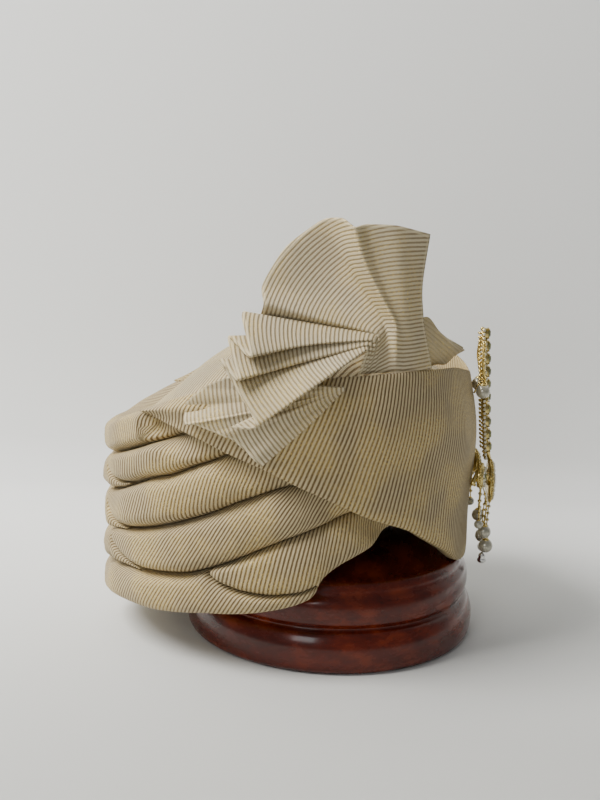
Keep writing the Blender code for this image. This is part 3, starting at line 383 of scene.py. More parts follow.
class Look:
    """A Principled material whose pattern is written as expressions."""

    def __init__(self, name, **finish):
        self.material = bpy.data.materials.new(name)
        self.material.use_nodes = True
        self.tree = self.material.node_tree
        self.shader = self.tree.nodes["Principled BSDF"]
        self.set(**finish)

    def set(self, **finish):
        """Give the shader's sockets their values or links; words are joined by underscores."""
        for key, value in finish.items():
            self.fill(self.shader.inputs[key.replace("_", " ").title().replace("Ior", "IOR")], value)

    def fill(self, socket, value):
        """Link a socket, or set its own value."""
        if isinstance(value, Number):
            self.tree.links.new(value.socket, socket)
        elif isinstance(value, tuple) and socket.type == "RGBA" and len(value) == 3:
            socket.default_value = (*value, 1.0)
        else:
            socket.default_value = value

    def node(self, kind, settings=None, sockets=None, out=0):
        """Add a node: its settings first, then the values or links of its sockets."""
        made = self.tree.nodes.new("ShaderNode" + kind)
        for key, value in (settings or {}).items():
            if key == "stops":
                ramp = made.color_ramp
                while len(ramp.elements) < len(value):
                    ramp.elements.new(0.5)
                for element, (place, colour) in zip(ramp.elements, value):
                    element.position = place
                    element.color = (*colour, 1.0)
            else:
                setattr(made, key, value)
        for key, value in (sockets or {}).items():
            self.fill(made.inputs[key], value)
        return Number(self, made.outputs[out])

    def place(self):
        """Where a point is on the object."""
        return self.node("TexCoord", out=3)

    def sum(self, operation, first, second=0.0):
        """One Math node."""
        return self.node("Math", {"operation": operation}, {0: first, 1: second})

    def mix(self, share, first, second):
        """A colour between two, by a share."""
        return self.node("Mix", {"data_type": "RGBA"}, {0: share, 6: first, 7: second}, 2)

    def limit(self, value, low, high):
        """0 at or below low, 1 at or above high, eased between."""
        return self.node("MapRange", {"interpolation_type": "SMOOTHSTEP"},
                         {0: value, 1: low, 2: high})

    def noise(self, place, scale, detail=2.0, roughness=0.5):
        """Soft noise from 0 to 1."""
        return self.node("TexNoise", None, {"Vector": place, "Scale": scale, "Detail": detail,
                                            "Roughness": roughness})

    def stretched(self, place, scale):
        """A place scaled unevenly."""
        return self.node("VectorMath", {"operation": "MULTIPLY"}, {0: place, 1: scale})

    def bump(self, height, depth, strength=1.0):
        """A Bump node's normal for a height from 0 to 1."""
        return self.node("Bump", None, {"Height": height, "Distance": depth,
                                        "Strength": strength})


def dimmed(colour, share):
    """A colour times a share."""
    return tuple(channel * share for channel in colour)


def tissue(name, rib=1.0, pale=(0.55, 0.44, 0.25), dark=(0.115, 0.066, 0.018), sheer=0.0, hem=False):
    """Cream tissue cloth: raised pale ribs with brown and gold threads between them, on the ribs map."""
    look = Look(name, roughness=0.62, specular_ior_level=0.35, sheen_weight=0.12,
                sheen_roughness=0.45, sheen_tint=(0.95, 0.86, 0.66))
    place = look.node("UVMap", {"uv_map": "ribs"})
    object_place = look.place()
    drift = look.noise(place, 34.0, 2.0) - 0.5
    across = look.node("SeparateXYZ", None, {0: place})
    along = across.output(1)
    turn = (across + drift * 0.0011) * (2 * math.pi / RIB_PITCH)
    wave = look.sum("SINE", turn) * 0.5 + 0.5
    speck = look.noise(look.stretched(place, (1500.0, 330.0, 1.0)), 1.0, 2.0, 0.6)
    crest = look.limit(wave + (speck - 0.5) * 0.55, 0.10, 0.62)
    fine = look.sum("SINE", along * (2 * math.pi / THREAD_PITCH) + turn * 0.5) * 0.5 + 0.5
    fibre = look.noise(look.stretched(place, (2600.0, 700.0, 1.0)), 1.0, 3.0, 0.7)
    patch = look.noise(object_place, 26.0, 3.0)
    glint = look.limit(fibre, 0.50, 0.64) * look.limit(patch, 0.40, 0.58)
    shade = look.noise(object_place, 9.0, 2.0)
    ground = look.mix(look.limit(shade, 0.3, 0.7), pale, dimmed(pale, 0.90))
    threads = look.mix(look.limit(patch, 0.35, 0.65), dark, dimmed(dark, 1.5))
    colour = look.mix(crest * rib + (1.0 - rib), threads, ground)
    colour = look.mix(fine * 0.14 + look.limit(fibre, 0.38, 0.62) * 0.28, colour,
                      dimmed(pale, 0.50))
    colour = look.mix(glint * 0.75, colour, (0.90, 0.67, 0.20))
    if hem:
        edge = look.node("Attribute", {"attribute_name": "hem"}, None, 2)
        line = look.limit(edge, 0.0022, 0.0017) * (1.0 - look.limit(edge, 0.0011, 0.0007) * 0.8)
        colour = look.mix(line * 0.7, colour, (0.66, 0.56, 0.35))
    metal = (1.0 - crest) * 0.30 * rib + glint * 0.45
    normal = look.bump(crest * (0.9 * rib) + fine * 0.07 + fibre * 0.12, 0.0007, 0.85)
    look.set(base_color=colour, metallic=metal, roughness=0.66 - glint * 0.22, normal=normal)
    if sheer:
        look.set(alpha=(1.0 - sheer) + crest * (sheer * 0.7) + fibre * (sheer * 0.3))
    return look.material


def varnished_wood(name):
    """Red-brown turned wood under gloss varnish: distorted diagonal bands, streaked by stretched noise."""
    look = Look(name, roughness=0.3, coat_weight=0.4, coat_roughness=0.13,
                specular_ior_level=0.2)
    place = look.place()
    warp = look.noise(place, 14.0, 3.0)
    streak = look.noise(look.stretched(place, (70.0, 16.0, 150.0)), 1.0, 5.0, 0.62)
    ring = look.node("TexWave", {"wave_type": "BANDS", "bands_direction": "DIAGONAL"},
                     {"Vector": place, "Scale": 15.0, "Distortion": 7.0, "Detail": 3.0,
                      "Detail Scale": 1.4}, 1)
    grain = streak * 0.62 + ring * 0.10 + warp * 0.28
    colour = look.node("ValToRGB", {"stops": ((0.25, (0.026, 0.0025, 0.0008)),
                                              (0.52, (0.085, 0.0085, 0.0018)),
                                              (0.85, (0.230, 0.034, 0.005)))}, {0: grain})
    pore = look.limit(look.noise(look.stretched(place, (420.0, 60.0, 420.0)), 1.0, 2.0), 0.60, 0.72)
    colour = look.mix(pore * 0.45, colour, (0.022, 0.004, 0.002))
    normal = look.bump(look.noise(place, 60.0, 2.0), 0.0003, 0.25)
    look.set(base_color=colour, roughness=0.20 + streak * 0.14, normal=normal)
    return look.material


def gold_metal(name, colour=(0.74, 0.58, 0.22)):
    """Polished yellow plating with faint tarnish in patches of noise."""
    look = Look(name, metallic=1.0, roughness=0.2)
    place = look.place()
    wear = look.noise(place, 420.0, 3.0)
    tint = look.mix(look.limit(wear, 0.35, 0.7), colour, dimmed(colour, 0.62))
    normal = look.bump(look.noise(place, 900.0, 2.0), 0.0002, 0.3)
    look.set(base_color=tint, roughness=0.14 + wear * 0.22, normal=normal)
    return look.material


def cut_stone(name, colour, deep):
    """Cut glass: its colour varies from stone to stone and it mirrors the light."""
    look = Look(name, roughness=0.06, coat_weight=0.6, coat_roughness=0.04,
                specular_ior_level=0.9)
    place = look.place()
    cloud = look.noise(place, 240.0, 1.0)
    look.set(base_color=look.mix(look.limit(cloud, 0.3, 0.7), colour, deep))
    return look.material


def pearl_look(name):
    """Cream pearl: a warm body under a bright coat, with soft cloudy lustre."""
    look = Look(name, roughness=0.22, metallic=0.35, coat_weight=0.7, coat_roughness=0.08)
    place = look.place()
    cloud = look.noise(place, 300.0, 2.0)
    look.set(base_color=look.mix(cloud, (0.50, 0.48, 0.38), (0.36, 0.34, 0.26)),
             roughness=0.2 + cloud * 0.1)
    return look.material


def put(name, data):
    """A new object in the scene."""
    made = bpy.data.objects.new(name, data)
    bpy.context.scene.collection.objects.link(made)
    return made


def keep(name, mesh, look, replaces=(), smooth=True):
    """Put a finished mesh into the scene as a piece of the object."""
    made = put(name, mesh)
    mesh.materials.append(look)
    if smooth:
        mesh.shade_smooth()
    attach(made, "root")
    if replaces:
        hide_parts(*replaces)
    return made


def grid_faces(rows, columns):
    """Four-cornered faces of a grid of points."""
    first = (np.arange(rows - 1)[:, None] * columns + np.arange(columns - 1)[None, :]).ravel()
    return np.stack([first, first + 1, first + columns + 1, first + columns], axis=1)


def new_mesh(name, points, faces, ribs=None):
    """A mesh from points and faces; ribs gives each point's place on the cloth pattern."""
    mesh = bpy.data.meshes.new(name)
    mesh.from_pydata(points.reshape(-1, 3).tolist(), [], faces.tolist())
    if ribs is not None:
        chart = mesh.uv_layers.new(name="ribs")
        corner = np.empty(len(mesh.loops), np.int32)
        mesh.loops.foreach_get("vertex_index", corner)
        chart.data.foreach_set("uv", ribs.reshape(-1, 2)[corner].astype(np.float32).ravel())
    return mesh


def closed(mesh, weld=0.0, caps=False):
    """Merge doubles closer than weld, fill open rims if asked and turn the faces outward."""
    built = bmesh.new()
    built.from_mesh(mesh)
    if weld:
        bmesh.ops.remove_doubles(built, verts=built.verts, dist=weld)
        if caps:
            open_edges = [edge for edge in built.edges if edge.is_boundary]
            bmesh.ops.holes_fill(built, edges=open_edges, sides=0)
        bmesh.ops.dissolve_degenerate(built, edges=built.edges, dist=1e-7)
    bmesh.ops.recalc_face_normals(built, faces=built.faces)
    built.to_mesh(mesh)
    built.free()
    return mesh


def cloth_piece(name, points, ribs, look, caps=True):
    """A cloth piece from a grid of points, in place of its solid."""
    mesh = new_mesh(name, points, grid_faces(*points.shape[:2]), np.stack(ribs, axis=-1))
    return keep("soft_" + name, closed(mesh, 1e-6, caps), look, [name])


def roll_crease_heights(roll, angle, name):
    """Lower and upper heights of a roll; a right roll's end is a quarter round."""
    turn = np.abs(angle)
    right = angle < 0
    low_name, high_name = ROLL_CREASES[roll]
    low, high = crease(low_name, angle), crease(high_name, angle)
    if roll == "roll_5":
        low = np.where(turn < 87, crease("wrap foot", angle), low)
    if roll == "roll_6":
        high = np.where(turn < 120, crease("crease 5", angle), high)
    if roll in TUCKS:
        start, end = TUCKS[roll]
        share = np.clip((turn - start) / (end - start), 0.0, 1.0)
        hook = low + (high - low) * (1 - np.sqrt(1 - share * share))
        if name.endswith("right"):
            low = np.where(right, hook, low)
        else:
            high = np.where(right & (turn < end), hook, high)
    return low, high


def cover(angle, height):
    """The wound cloth's outer limit: the band's inside, then free below its foot."""
    inside = band_inside(angle) - CLEAR
    free = pad(angle)
    below = crease("band foot", angle) - height
    held = inside + (free - inside) * smooth_step(1.2 * BAND_WALL, 4.0 * BAND_WALL, below)
    return np.where(np.abs(angle) > BAND_END, free, held)


def make_roll(name, look):
    """A padded roll: round outside by a superellipse and flat inside, carried round the back."""
    roll, first, last, lean = ROLLS[name]
    around = np.linspace(first, last, int((last - first) * STEPS_PER_DEGREE))[:, None]
    angle = np.where(around > 180, 360 - around, -around)
    low, high = roll_crease_heights(roll, angle, name)
    low, high = low - PLUMP, high + PLUMP
    half = np.maximum(0.0002, (high - low) / 2)
    middle = (high + low) / 2
    inside = clear_of_stand(angle, low, CROWN_WALL + CLEAR + 0 * low)
    share = np.linspace(0.0, 1.0, 41)
    swing = math.pi * (share - 0.85 * np.sin(2 * math.pi * share) / (2 * math.pi))[None, :]
    height = middle - half * np.sign(np.cos(swing)) * np.abs(np.cos(swing)) ** ROLL_POWER
    recess = THIN_RECESS * (1 - smooth_step(0, 2 * THIN_RECESS, 2 * half))
    crest = np.maximum(inside + 4 * FIT, cover(angle + 0 * height, height) - recess)
    depth = (crest - inside) * np.clip(np.sin(swing), 0.0, 1.0) ** ROLL_POWER
    depth = depth + soft_waves(np.radians(around) * MEAN_RADIUS, height, 0.0013) * np.sin(swing) ** 2
    outer = oval(angle, inside + depth, height)
    back = np.linspace(1.0, 0.0, 6)[None, 1:]
    inner = oval(angle, inside + 0 * back, low + (high - low) * back)
    points = np.concatenate([outer, inner], axis=1)
    walked = arc(points, 1)
    crest_column = 20
    walked = walked - walked[:, crest_column:crest_column + 1]
    along = arc(points[:, crest_column], 0)[:, None]
    ribs = [along + lean * (walked + (middle - WRAP_FOOT)), walked]
    piece = cloth_piece(name, points, ribs, look)


def make_band(look):
    """The broad band: rounded edges and a slow swell across, carried round the front."""
    angle = np.linspace(-BAND_END, BAND_END, 420)[:, None]
    low = crease("band foot", angle) + 0.5 * FIT
    high = crease("band top", angle)
    inside = band_inside(angle)
    share = np.concatenate([np.linspace(0, 0.08, 8), np.linspace(0.08, 0.9, 42)[1:],
                            np.linspace(0.9, 1.0, 10)[1:]])[None, :]
    drop = curve_through(((0, 0.95), (0.012, 0.50), (0.04, 0.22), (0.12, 0.03), (0.25, 0.0),
                          (0.80, 0.0), (0.93, 0.12), (0.98, 0.36), (1.0, 0.80)), share)
    height = low + (high - low) * share
    flat = smooth_step(0.0, 0.2, share) * smooth_step(1.0, 0.85, share)
    pucker = soft_waves(np.radians(angle) * MEAN_RADIUS, height * 0.35, 0.0006) * flat
    outside = band_outside(angle, height)
    wall = np.minimum(BAND_WALL, outside - inside)
    outer = oval(angle, outside - drop * BAND_EDGE_ROUND * wall + pucker, height)
    back = np.array([0.985, 0.75, 0.4, 0.12, 0.0])[None, :]
    lift = np.array([0.25, 0.0, 0.0, 0.1, 0.45])[None, :]
    rear_height = low + (high - low) * back
    outside = band_outside(angle, rear_height)
    wall = np.minimum(BAND_WALL, outside - inside)
    rear = np.minimum(clear_of_stand(angle, rear_height, inside + lift * wall),
                      outside - (1 - BAND_EDGE_ROUND) * wall)
    inner = oval(angle, rear, rear_height)
    points = np.concatenate([outer, inner, outer[:, :1]], axis=1)
    walked = arc(points, 1)
    column = 30
    along = arc(points[:, column], 0)
    along = np.abs(along - np.interp(0.0, angle[:, 0], along))[:, None]
    lean = 0.04 + 0.38 * smooth_step(20, 115, np.abs(angle))
    drop_down = high - WRAP_FOOT - WRAP_HEIGHT + walked - walked[:, column:column + 1]
    piece = cloth_piece("front_band", points, [along + lean * drop_down, walked], look)


def crown_rim(angle):
    """Distance and height of the crown's outer rim, just above the wound rolls."""
    at_side = band_inside(angle) - 0.2 * BAND_WALL - CLEAR
    blend = smooth_step(138, 165, np.abs(angle))
    distance = np.maximum(CROWN_WALL + FIT, at_side * (1 - blend) + BACK_PAD * CROWN_BACK_REACH * blend)
    return distance, crease("wrap top", angle) + FIT


def make_crown(look):
    """The crown: a dome that falls by a power of the way out, flatter in front, over a wall."""
    around = np.linspace(-180, 180, 241)[:, None]
    power = 2 - CROWN_FRONT_SLOPE * np.clip(np.cos(np.radians(around)), 0.0, 1.0)
    reach, rim = crown_rim(around)
    rim_line = np.where(np.abs(around) < 60, crease("band foot", around), crease("wrap foot", around))
    foot = np.maximum(rim_line + BAND_WALL, STAND_HEIGHT + BAND_WALL)
    top = WRAP_TOP + CROWN_RISE
    share = np.linspace(0, 1, 46)[None, :]
    edge = oval(around, reach, rim)
    outer = edge * share[..., None]
    outer[..., 2] = rim + (top - rim) * (1 - share ** power)
    swell = soft_waves(outer[..., 0], outer[..., 1], 0.0011)
    outer[..., 2] += swell * np.sin(math.pi * share) ** 2
    ones = np.ones_like(foot)
    inner_rim = WRAP_FOOT + CROWN_INNER_RIM * WRAP_HEIGHT
    wall = [oval(around, CROWN_WALL * ones, height) for height in (rim, (rim + foot) / 2, foot)]
    wall += [oval(around, 0 * ones, height) for height in (foot, (foot + inner_rim) / 2)]
    inner_edge = oval(around, 0 * ones, inner_rim * ones)
    ins = np.linspace(1, 0, 18)[None, :]
    inner = inner_edge * ins[..., None]
    inner[..., 2] = inner_rim + (top - CROWN_DEPTH - inner_rim) * (1 - ins ** (power + CROWN_INNER_FULLNESS))
    points = np.concatenate([outer] + wall + [inner], axis=1)
    phase = points[..., 0] * 0.80 - points[..., 1] * 0.60 + (points[..., 2] - top) * 0.35
    run = points[..., 0] * 0.60 + points[..., 1] * 0.80
    piece = cloth_piece("crown", points, [phase, run], look, False)


def between(rows, place):
    """Rows joined by straight lines, at fractional places along the first axis."""
    index = np.minimum(place.astype(int), len(rows) - 2)
    t = (place - index).reshape((-1,) + (1,) * (rows.ndim - 1))
    return rows[index] * (1 - t) + rows[index + 1] * t


def spline(points, steps):
    """Catmull-Rom curve through the rows of points, at even steps."""
    points = np.array(points, float)
    count = len(points) - 1
    padded = np.concatenate([[2 * points[0] - points[1]], points, [2 * points[-1] - points[-2]]])
    place = np.linspace(0, 1, steps) * count
    index = np.minimum(place.astype(int), count - 1)
    t = (place - index).reshape((-1,) + (1,) * (points.ndim - 1))
    a, b, c, d = (padded[index + i] for i in range(4))
    return 0.5 * (2 * b + (c - a) * t + (2 * a - 5 * b + 4 * c - d) * t ** 2
                  + (3 * b - a - 3 * c + d) * t ** 3)


def blurred(values, width, axis=0):
    """A running mean along one axis that keeps both ends where they are."""
    ends = [slice(None)] * values.ndim
    for _ in range(2 * width):
        mean = (np.roll(values, 1, axis) + 2 * values + np.roll(values, -1, axis)) / 4
        for end in (slice(0, 1), slice(-1, None)):
            ends[axis] = end
            mean[tuple(ends)] = values[tuple(ends)]
        values = mean
    return values


def thin_sheet(name, points, thickness, ribs, look, hem):
    """A closed thin sheet: the grid moved half its thickness to each side, joined at its rim."""
    along = np.gradient(points, axis=0)
    across = np.gradient(points, axis=1)
    normal = np.cross(along, across)
    normal /= np.maximum(1e-12, np.linalg.norm(normal, axis=-1, keepdims=True))
    offset = normal * (np.asarray(thickness)[:, None, None] / 2)
    both = [points + offset, points - offset]
    rows, columns = points.shape[:2]
    faces = grid_faces(rows, columns)
    back = rows * columns
    index = np.arange(back).reshape(rows, columns)
    rim = np.concatenate([index[0, :], index[1:, -1], index[-1, -2::-1], index[-2:0:-1, 0]])
    after = np.roll(rim, -1)
    sides = np.stack([rim, rim + back, after + back, after], axis=1)
    faces = np.concatenate([faces, faces[:, ::-1] + back, sides])
    mesh = new_mesh(name, np.concatenate(both), faces, np.concatenate([np.stack(ribs, axis=-1)] * 2))
    field = mesh.attributes.new("hem", "FLOAT", "POINT")
    field.data.foreach_set("value", np.concatenate([hem.ravel()] * 2).astype(np.float32))
    return keep("soft_" + name, closed(mesh), look, [name])


def make_fan(look):
    """The fan: folds run from the pinch to the hem on smooth curves, and its pleats are softly rounded."""
    pinch = oval(PINCH[0], pad(PINCH[0]) + PINCH[1] * FAN_REACH, WRAP_TOP + PINCH[2] * FAN_REACH)
    turned = np.array([1.0, -1.0, 1.0]) * FAN_REACH
    hem, half, waist = (pinch + np.array([row[key] for row in FAN_FOLDS]) * turned
                        for key in (1, 2, 3))
    foot = pinch + np.array([(*row[4], 0.0) for row in FAN_FOLDS]) * turned
    reach = SIDE_PAD * 0.8
    turn = np.degrees(np.arctan2(foot[:, 1] / (HALF_WIDTH + reach),
                                 (foot[:, 0] + HOLLOW_SETBACK) / (HALF_LENGTH + reach)))
    foot[:, 2] = crease("band top", turn) + CLEAR
    upper = spline([waist, half, hem], 44)
    lower = foot + (waist - foot) * np.linspace(0, 1, FOOT_ROWS + 1)[:-1, None, None]
    lines = np.concatenate([lower, upper])
    panels = 12
    folds = np.linspace(0, len(FAN_FOLDS) - 1, (len(FAN_FOLDS) - 1) * panels + 1)
    points = between(lines.swapaxes(0, 1), folds).swapaxes(0, 1)
    points = blurred(points, 5, axis=1)
    points = blurred(points, 2, axis=0)
    walked = arc(points, 0)
    walked = walked - walked[FOOT_ROWS:FOOT_ROWS + 1]
    to_hem = walked[-1:] - walked
    side = arc(points, 1)
    to_hem = np.minimum(to_hem, np.minimum(side, side[:, -1:] - side) + 0.0002)
    thickness = np.interp(np.arange(len(points)), (0, FOOT_ROWS, 14),
                          (FAN_WAIST_CLOTH, FAN_WAIST_CLOTH, FAN_CLOTH))
    piece = thin_sheet("fan", points, thickness, [walked * 1.06, side], look, to_hem)


def make_leaf(look):
    """The lower leaf: its hem's corners joined to its root by straight lines laid on the band."""
    root_turn, root_low, root_high = LEAF_ROOT
    places = np.array([(turn, share) for _, turn, share in LEAF_HEM])
    index = np.linspace(0, len(places) - 1, 97)
    hem = blurred(between(places, index), 3)
    spread = (index / (len(places) - 1))[None, :]
    row = np.linspace(0, 1, 61)[:, None]
    start = root_low + (root_high - root_low) * spread
    turn = root_turn + (hem[None, :, 0] - root_turn) * row
    height = WRAP_FOOT + WRAP_HEIGHT * (start + (hem[None, :, 1] - start) * row)
    lift = 1.7 * FAN_CLOTH + FAN_CLOTH * spread
    pleat = 0.0012 * np.clip(np.sin(spread * 26.0 - 0.6), 0, 1) * smooth_step(0.0, 0.5, row)
    points = oval(-turn, band_outside(turn, height) + lift + pleat, height)
    walked = arc(points, 0)
    to_hem = walked[-1:] - walked
    thickness = np.full(len(points), FAN_CLOTH)
    piece = thin_sheet("fan_lower_leaf", points, thickness, [walked, arc(points, 1)], look, to_hem)


def make_front_fold(look):
    """The front fold: a soft flattened ring carried along to its tip."""
    start = oval(-58.0, pad(-58.0) * 0.6, crease("band top", 58.0) + FIT)
    end = oval(-8.0, pad(-8.0) * 0.6, 0.0)
    along = (end - start) * np.array([1.0, 1.0, 0.0])
    along /= np.linalg.norm(along)
    out = np.array([along[1], -along[0], 0.0])
    rows = spline(FRONT_FOLD, 60)
    middle = start + FOLD_LENGTH * (rows[:, :1] * along + rows[:, 1:2] * out)
    middle[:, 2] += FOLD_LENGTH * rows[:, 2]
    ring = np.linspace(0, 2 * math.pi, 49)[None, :]
    wide = np.maximum(0.03, rows[:, 3:4])
    ripple = 0.0008 * np.sin(ring * 3 + rows[:, :1] * 7)
    points = (middle[:, None, :] + out * ((FOLD_CLOTH * np.cos(ring) + ripple)[..., None])
              + np.array([0, 0, 0.5]) * (FOLD_LENGTH * wide * np.sin(ring))[..., None])
    walked = arc(points, 1)
    phase = points[..., 2] * 0.9 + rows[:, :1] * FOLD_LENGTH * 0.45
    piece = cloth_piece("front_fold", points, [phase, walked], look)


def turned_stand(look):
    """The stand's tiers turned finely: the outline's corners are rounded by a running mean."""
    rows = [(radius * STAND_RADIUS, share * STAND_HEIGHT) for _, radius, share in STAND_OUTLINE]
    outline = blurred(spline(rows, (len(rows) - 1) * 7 + 1), 1)
    foot, top = outline[0], outline[-1]
    outline = np.concatenate([[(0.0, foot[1]), (foot[0] * 0.5, foot[1])], outline, [(0.0, top[1])]])
    turn = np.linspace(0, 2 * math.pi, 145)[:, None]
    points = np.stack([outline[:, 0] * np.cos(turn), outline[:, 0] * np.sin(turn),
                       outline[:, 1] + 0 * turn], axis=-1)
    mesh = closed(new_mesh("stand", points, grid_faces(*points.shape[:2])), 1e-6)
    keep("turned_stand", mesh, look, ["stand_base"])


# Directions: to the front, nearly straight up, and one that no wire runs along
AHEAD = (1, 0, 0)
UPRIGHT = (0.0, 0.02, 1.0)
ASKEW = (0.83, 0.13, 0.54)


def brooch_front(share, side=0.0):
    """A point on the brooch's curved back plane, at a height share and some way to one side."""
    height = WRAP_FOOT + BROOCH_FOOT * WRAP_HEIGHT + share * BROOCH_HEIGHT
    stand_off = BROOCH_STANDOFF * curve_through(BROOCH_LINE, share)
    centre = HALF_LENGTH - HOLLOW_SETBACK + FRONT_PAD + BAND_LIFT + stand_off
    return np.array([centre - side ** 2 / (2 * HALF_WIDTH), side, height])


def band_face(side, height):
    """The band's outer face near the front, at a distance to one side."""
    angle = np.linspace(0.0, 80.0, 801)
    face = oval(angle, band_outside(angle, height), height)
    return np.interp(abs(side), face[:, 1], face[:, 0])


def toward_band(out, side, share, radius):
    """A point in the brooch's plane at the middle, and on the band at full reach."""
    point = brooch_front(share, side * out * BROOCH_REACH)
    free = point[0] + SPINE_RADIUS
    resting = band_face(point[1], point[2]) + radius + FIT
    point[0] = max(resting, free + (resting - free) * out ** 2)
    return point


def pearl_place(name, side):
    """Centre and radius of a pearl; side is -1 for right, 1 for left, 0 for centre."""
    out, share, stand, size = PEARLS[name]
    centre = brooch_front(max(0.0, share), side * out * BROOCH_REACH)
    centre[2] = brooch_front(share)[2]
    resting = band_face(centre[1], centre[2]) + size * PEARL_RADIUS + CLEAR
    centre[0] = max(resting, centre[0] + stand * BROOCH_STANDOFF)
    return centre, size * PEARL_RADIUS


def facing(out):
    """Unit directions outward, sideways and up for a small part that faces one way."""
    out = np.array(out, float) / np.linalg.norm(out)
    aside = np.cross([0.0, 0.0, 1.0], out)
    aside /= np.linalg.norm(aside)
    return out, aside, np.cross(out, aside)


def circle(sides):
    """A closed unit circle of corners."""
    turn = np.linspace(0, 2 * math.pi, sides + 1)
    return np.stack([np.cos(turn), np.sin(turn)], axis=1)


def stacked(centre, out, outline, corners, wide=1.0, tall=None, deep=1.0):
    """Rings of one flat outline, scaled and lifted: closed when the first and last scale are 0."""
    tall = wide if tall is None else tall
    out, aside, up = facing(out)
    scale, lift = np.array(outline, float).T[..., None]
    return (centre + (lift * deep)[..., None] * out + (scale * corners[:, 0] * wide)[..., None] * aside
            + (scale * corners[:, 1] * tall)[..., None] * up)


def bead(centre, radius, columns=6, rows=5):
    """A ball; beads are small and need few corners."""
    turn = np.linspace(-math.pi / 2, math.pi / 2, rows)
    return stacked(centre, UPRIGHT, np.stack([np.cos(turn), np.sin(turn)], axis=1) * radius,
                   circle(columns))


def rod(path, radius, columns=8, loop=False):
    """A round wire along a path; its ends close to a point."""
    path = np.array(path, float)
    along = np.gradient(path, axis=0)
    if loop:
        along[0] = along[-1] = path[1] - path[-2]
    along /= np.linalg.norm(along, axis=1, keepdims=True)
    first = np.cross(along, ASKEW)
    first /= np.linalg.norm(first, axis=1, keepdims=True)
    second = np.cross(along, first)
    turn = circle(columns)
    size = np.broadcast_to(radius, len(path))[:, None, None]
    rings = path[:, None] + size * (turn[:, :1] * first[:, None] + turn[:, 1:] * second[:, None])
    if loop:
        return rings
    ends = np.repeat(path[[0, -1], None], columns + 1, axis=1)
    return np.concatenate([ends[:1], rings, ends[1:]])


def joined(name, shapes, look, replaced, smooth=True):
    """One piece of many small closed shapes, each a grid of points."""
    points, faces, start = [], [], 0
    for grid in shapes:
        points.append(grid.reshape(-1, 3))
        faces.append(grid_faces(*grid.shape[:2]) + start)
        start += len(points[-1])
    mesh = new_mesh(name, np.concatenate(points), np.concatenate(faces))
    keep(name, closed(mesh, 1e-7), look, replaced, smooth)


OCTAGON = np.array([(1, 0.55), (0.62, 1), (-0.62, 1), (-1, 0.55), (-1, -0.55), (-0.62, -1),
                    (0.62, -1), (1, -0.55), (1, 0.55)])

# Outlines, foot to top: share of the radius, share of COLLET_DEPTH
COLLET = ((0, 0), (0.86, 0), (1.0, 0.3), (0.86, 0.45), (1.0, 1.0), (0.8, 1.0), (0, 0.7))
# Outlines, foot to top: share of the radius, height in metres
PLUME_STONE = ((0, 0.7 * COLLET_DEPTH), (0.78, 0.7 * COLLET_DEPTH), (0.82, 1.1 * COLLET_DEPTH),
               (0.50, COLLET_DEPTH + STONE_HEIGHT), (0, COLLET_DEPTH + STONE_HEIGHT))
LEAF = ((0, 0), (0.8, 0), (1.0, 0.0005), (0, 0.0007))
DISC = ((0, 0), (0.97, 0), (1.0, 0.0006), (0.95, 0.0016), (0.84, 0.0024), (0.60, 0.0022), (0, 0.002))
CENTRE_STONE = ((0, 0), (0.96, 0), (0.97, 0.0010), (0.80, 0.0022), (0.55, 0.0030), (0, 0.0030))
LOBE = ((0, 0), (0.95, 0), (1.0, 0.0012), (0.92, 0.0034), (0.74, 0.0042), (0, 0.0036))
# Outlines, foot to top: shares of the pearl's radius and of DROP_HEIGHT
CAP = ((0, 0), (0.52, 0), (0.46, 0.12), (0.16, 0.32), (0, 0.34))
DROP = ((0, 0), (0.09, 0), (0.24, -0.15), (0.31, -0.38), (0.27, -0.45), (0.38, -0.62),
        (0.36, -0.80), (0.22, -0.93), (0, -1.0))


def round_stone(centre, out, radius, height):
    """A round brilliant: girdle, crown facets and table."""
    rows = ((0.0, 0.0), (0.95, 0.0), (1.0, 0.3 * height), (0.62, height), (0.0, height))
    return stacked(centre, out, [(radius * wide, lift) for wide, lift in rows], circle(10))


def around(centre, out, radius, count):
    """Places evenly round a circle that faces outward."""
    _, aside, up = facing(out)
    turn = np.linspace(0, 2 * math.pi, count, endpoint=False)[:, None]
    return centre + radius * (np.cos(turn) * aside + np.sin(turn) * up)


def set_stone(gold, clear, place, out, lift, size, stone):
    """A bead of metal with a small round stone set on it."""
    gold.append(bead(place, size))
    clear.append(round_stone(place + lift, out, *stone))


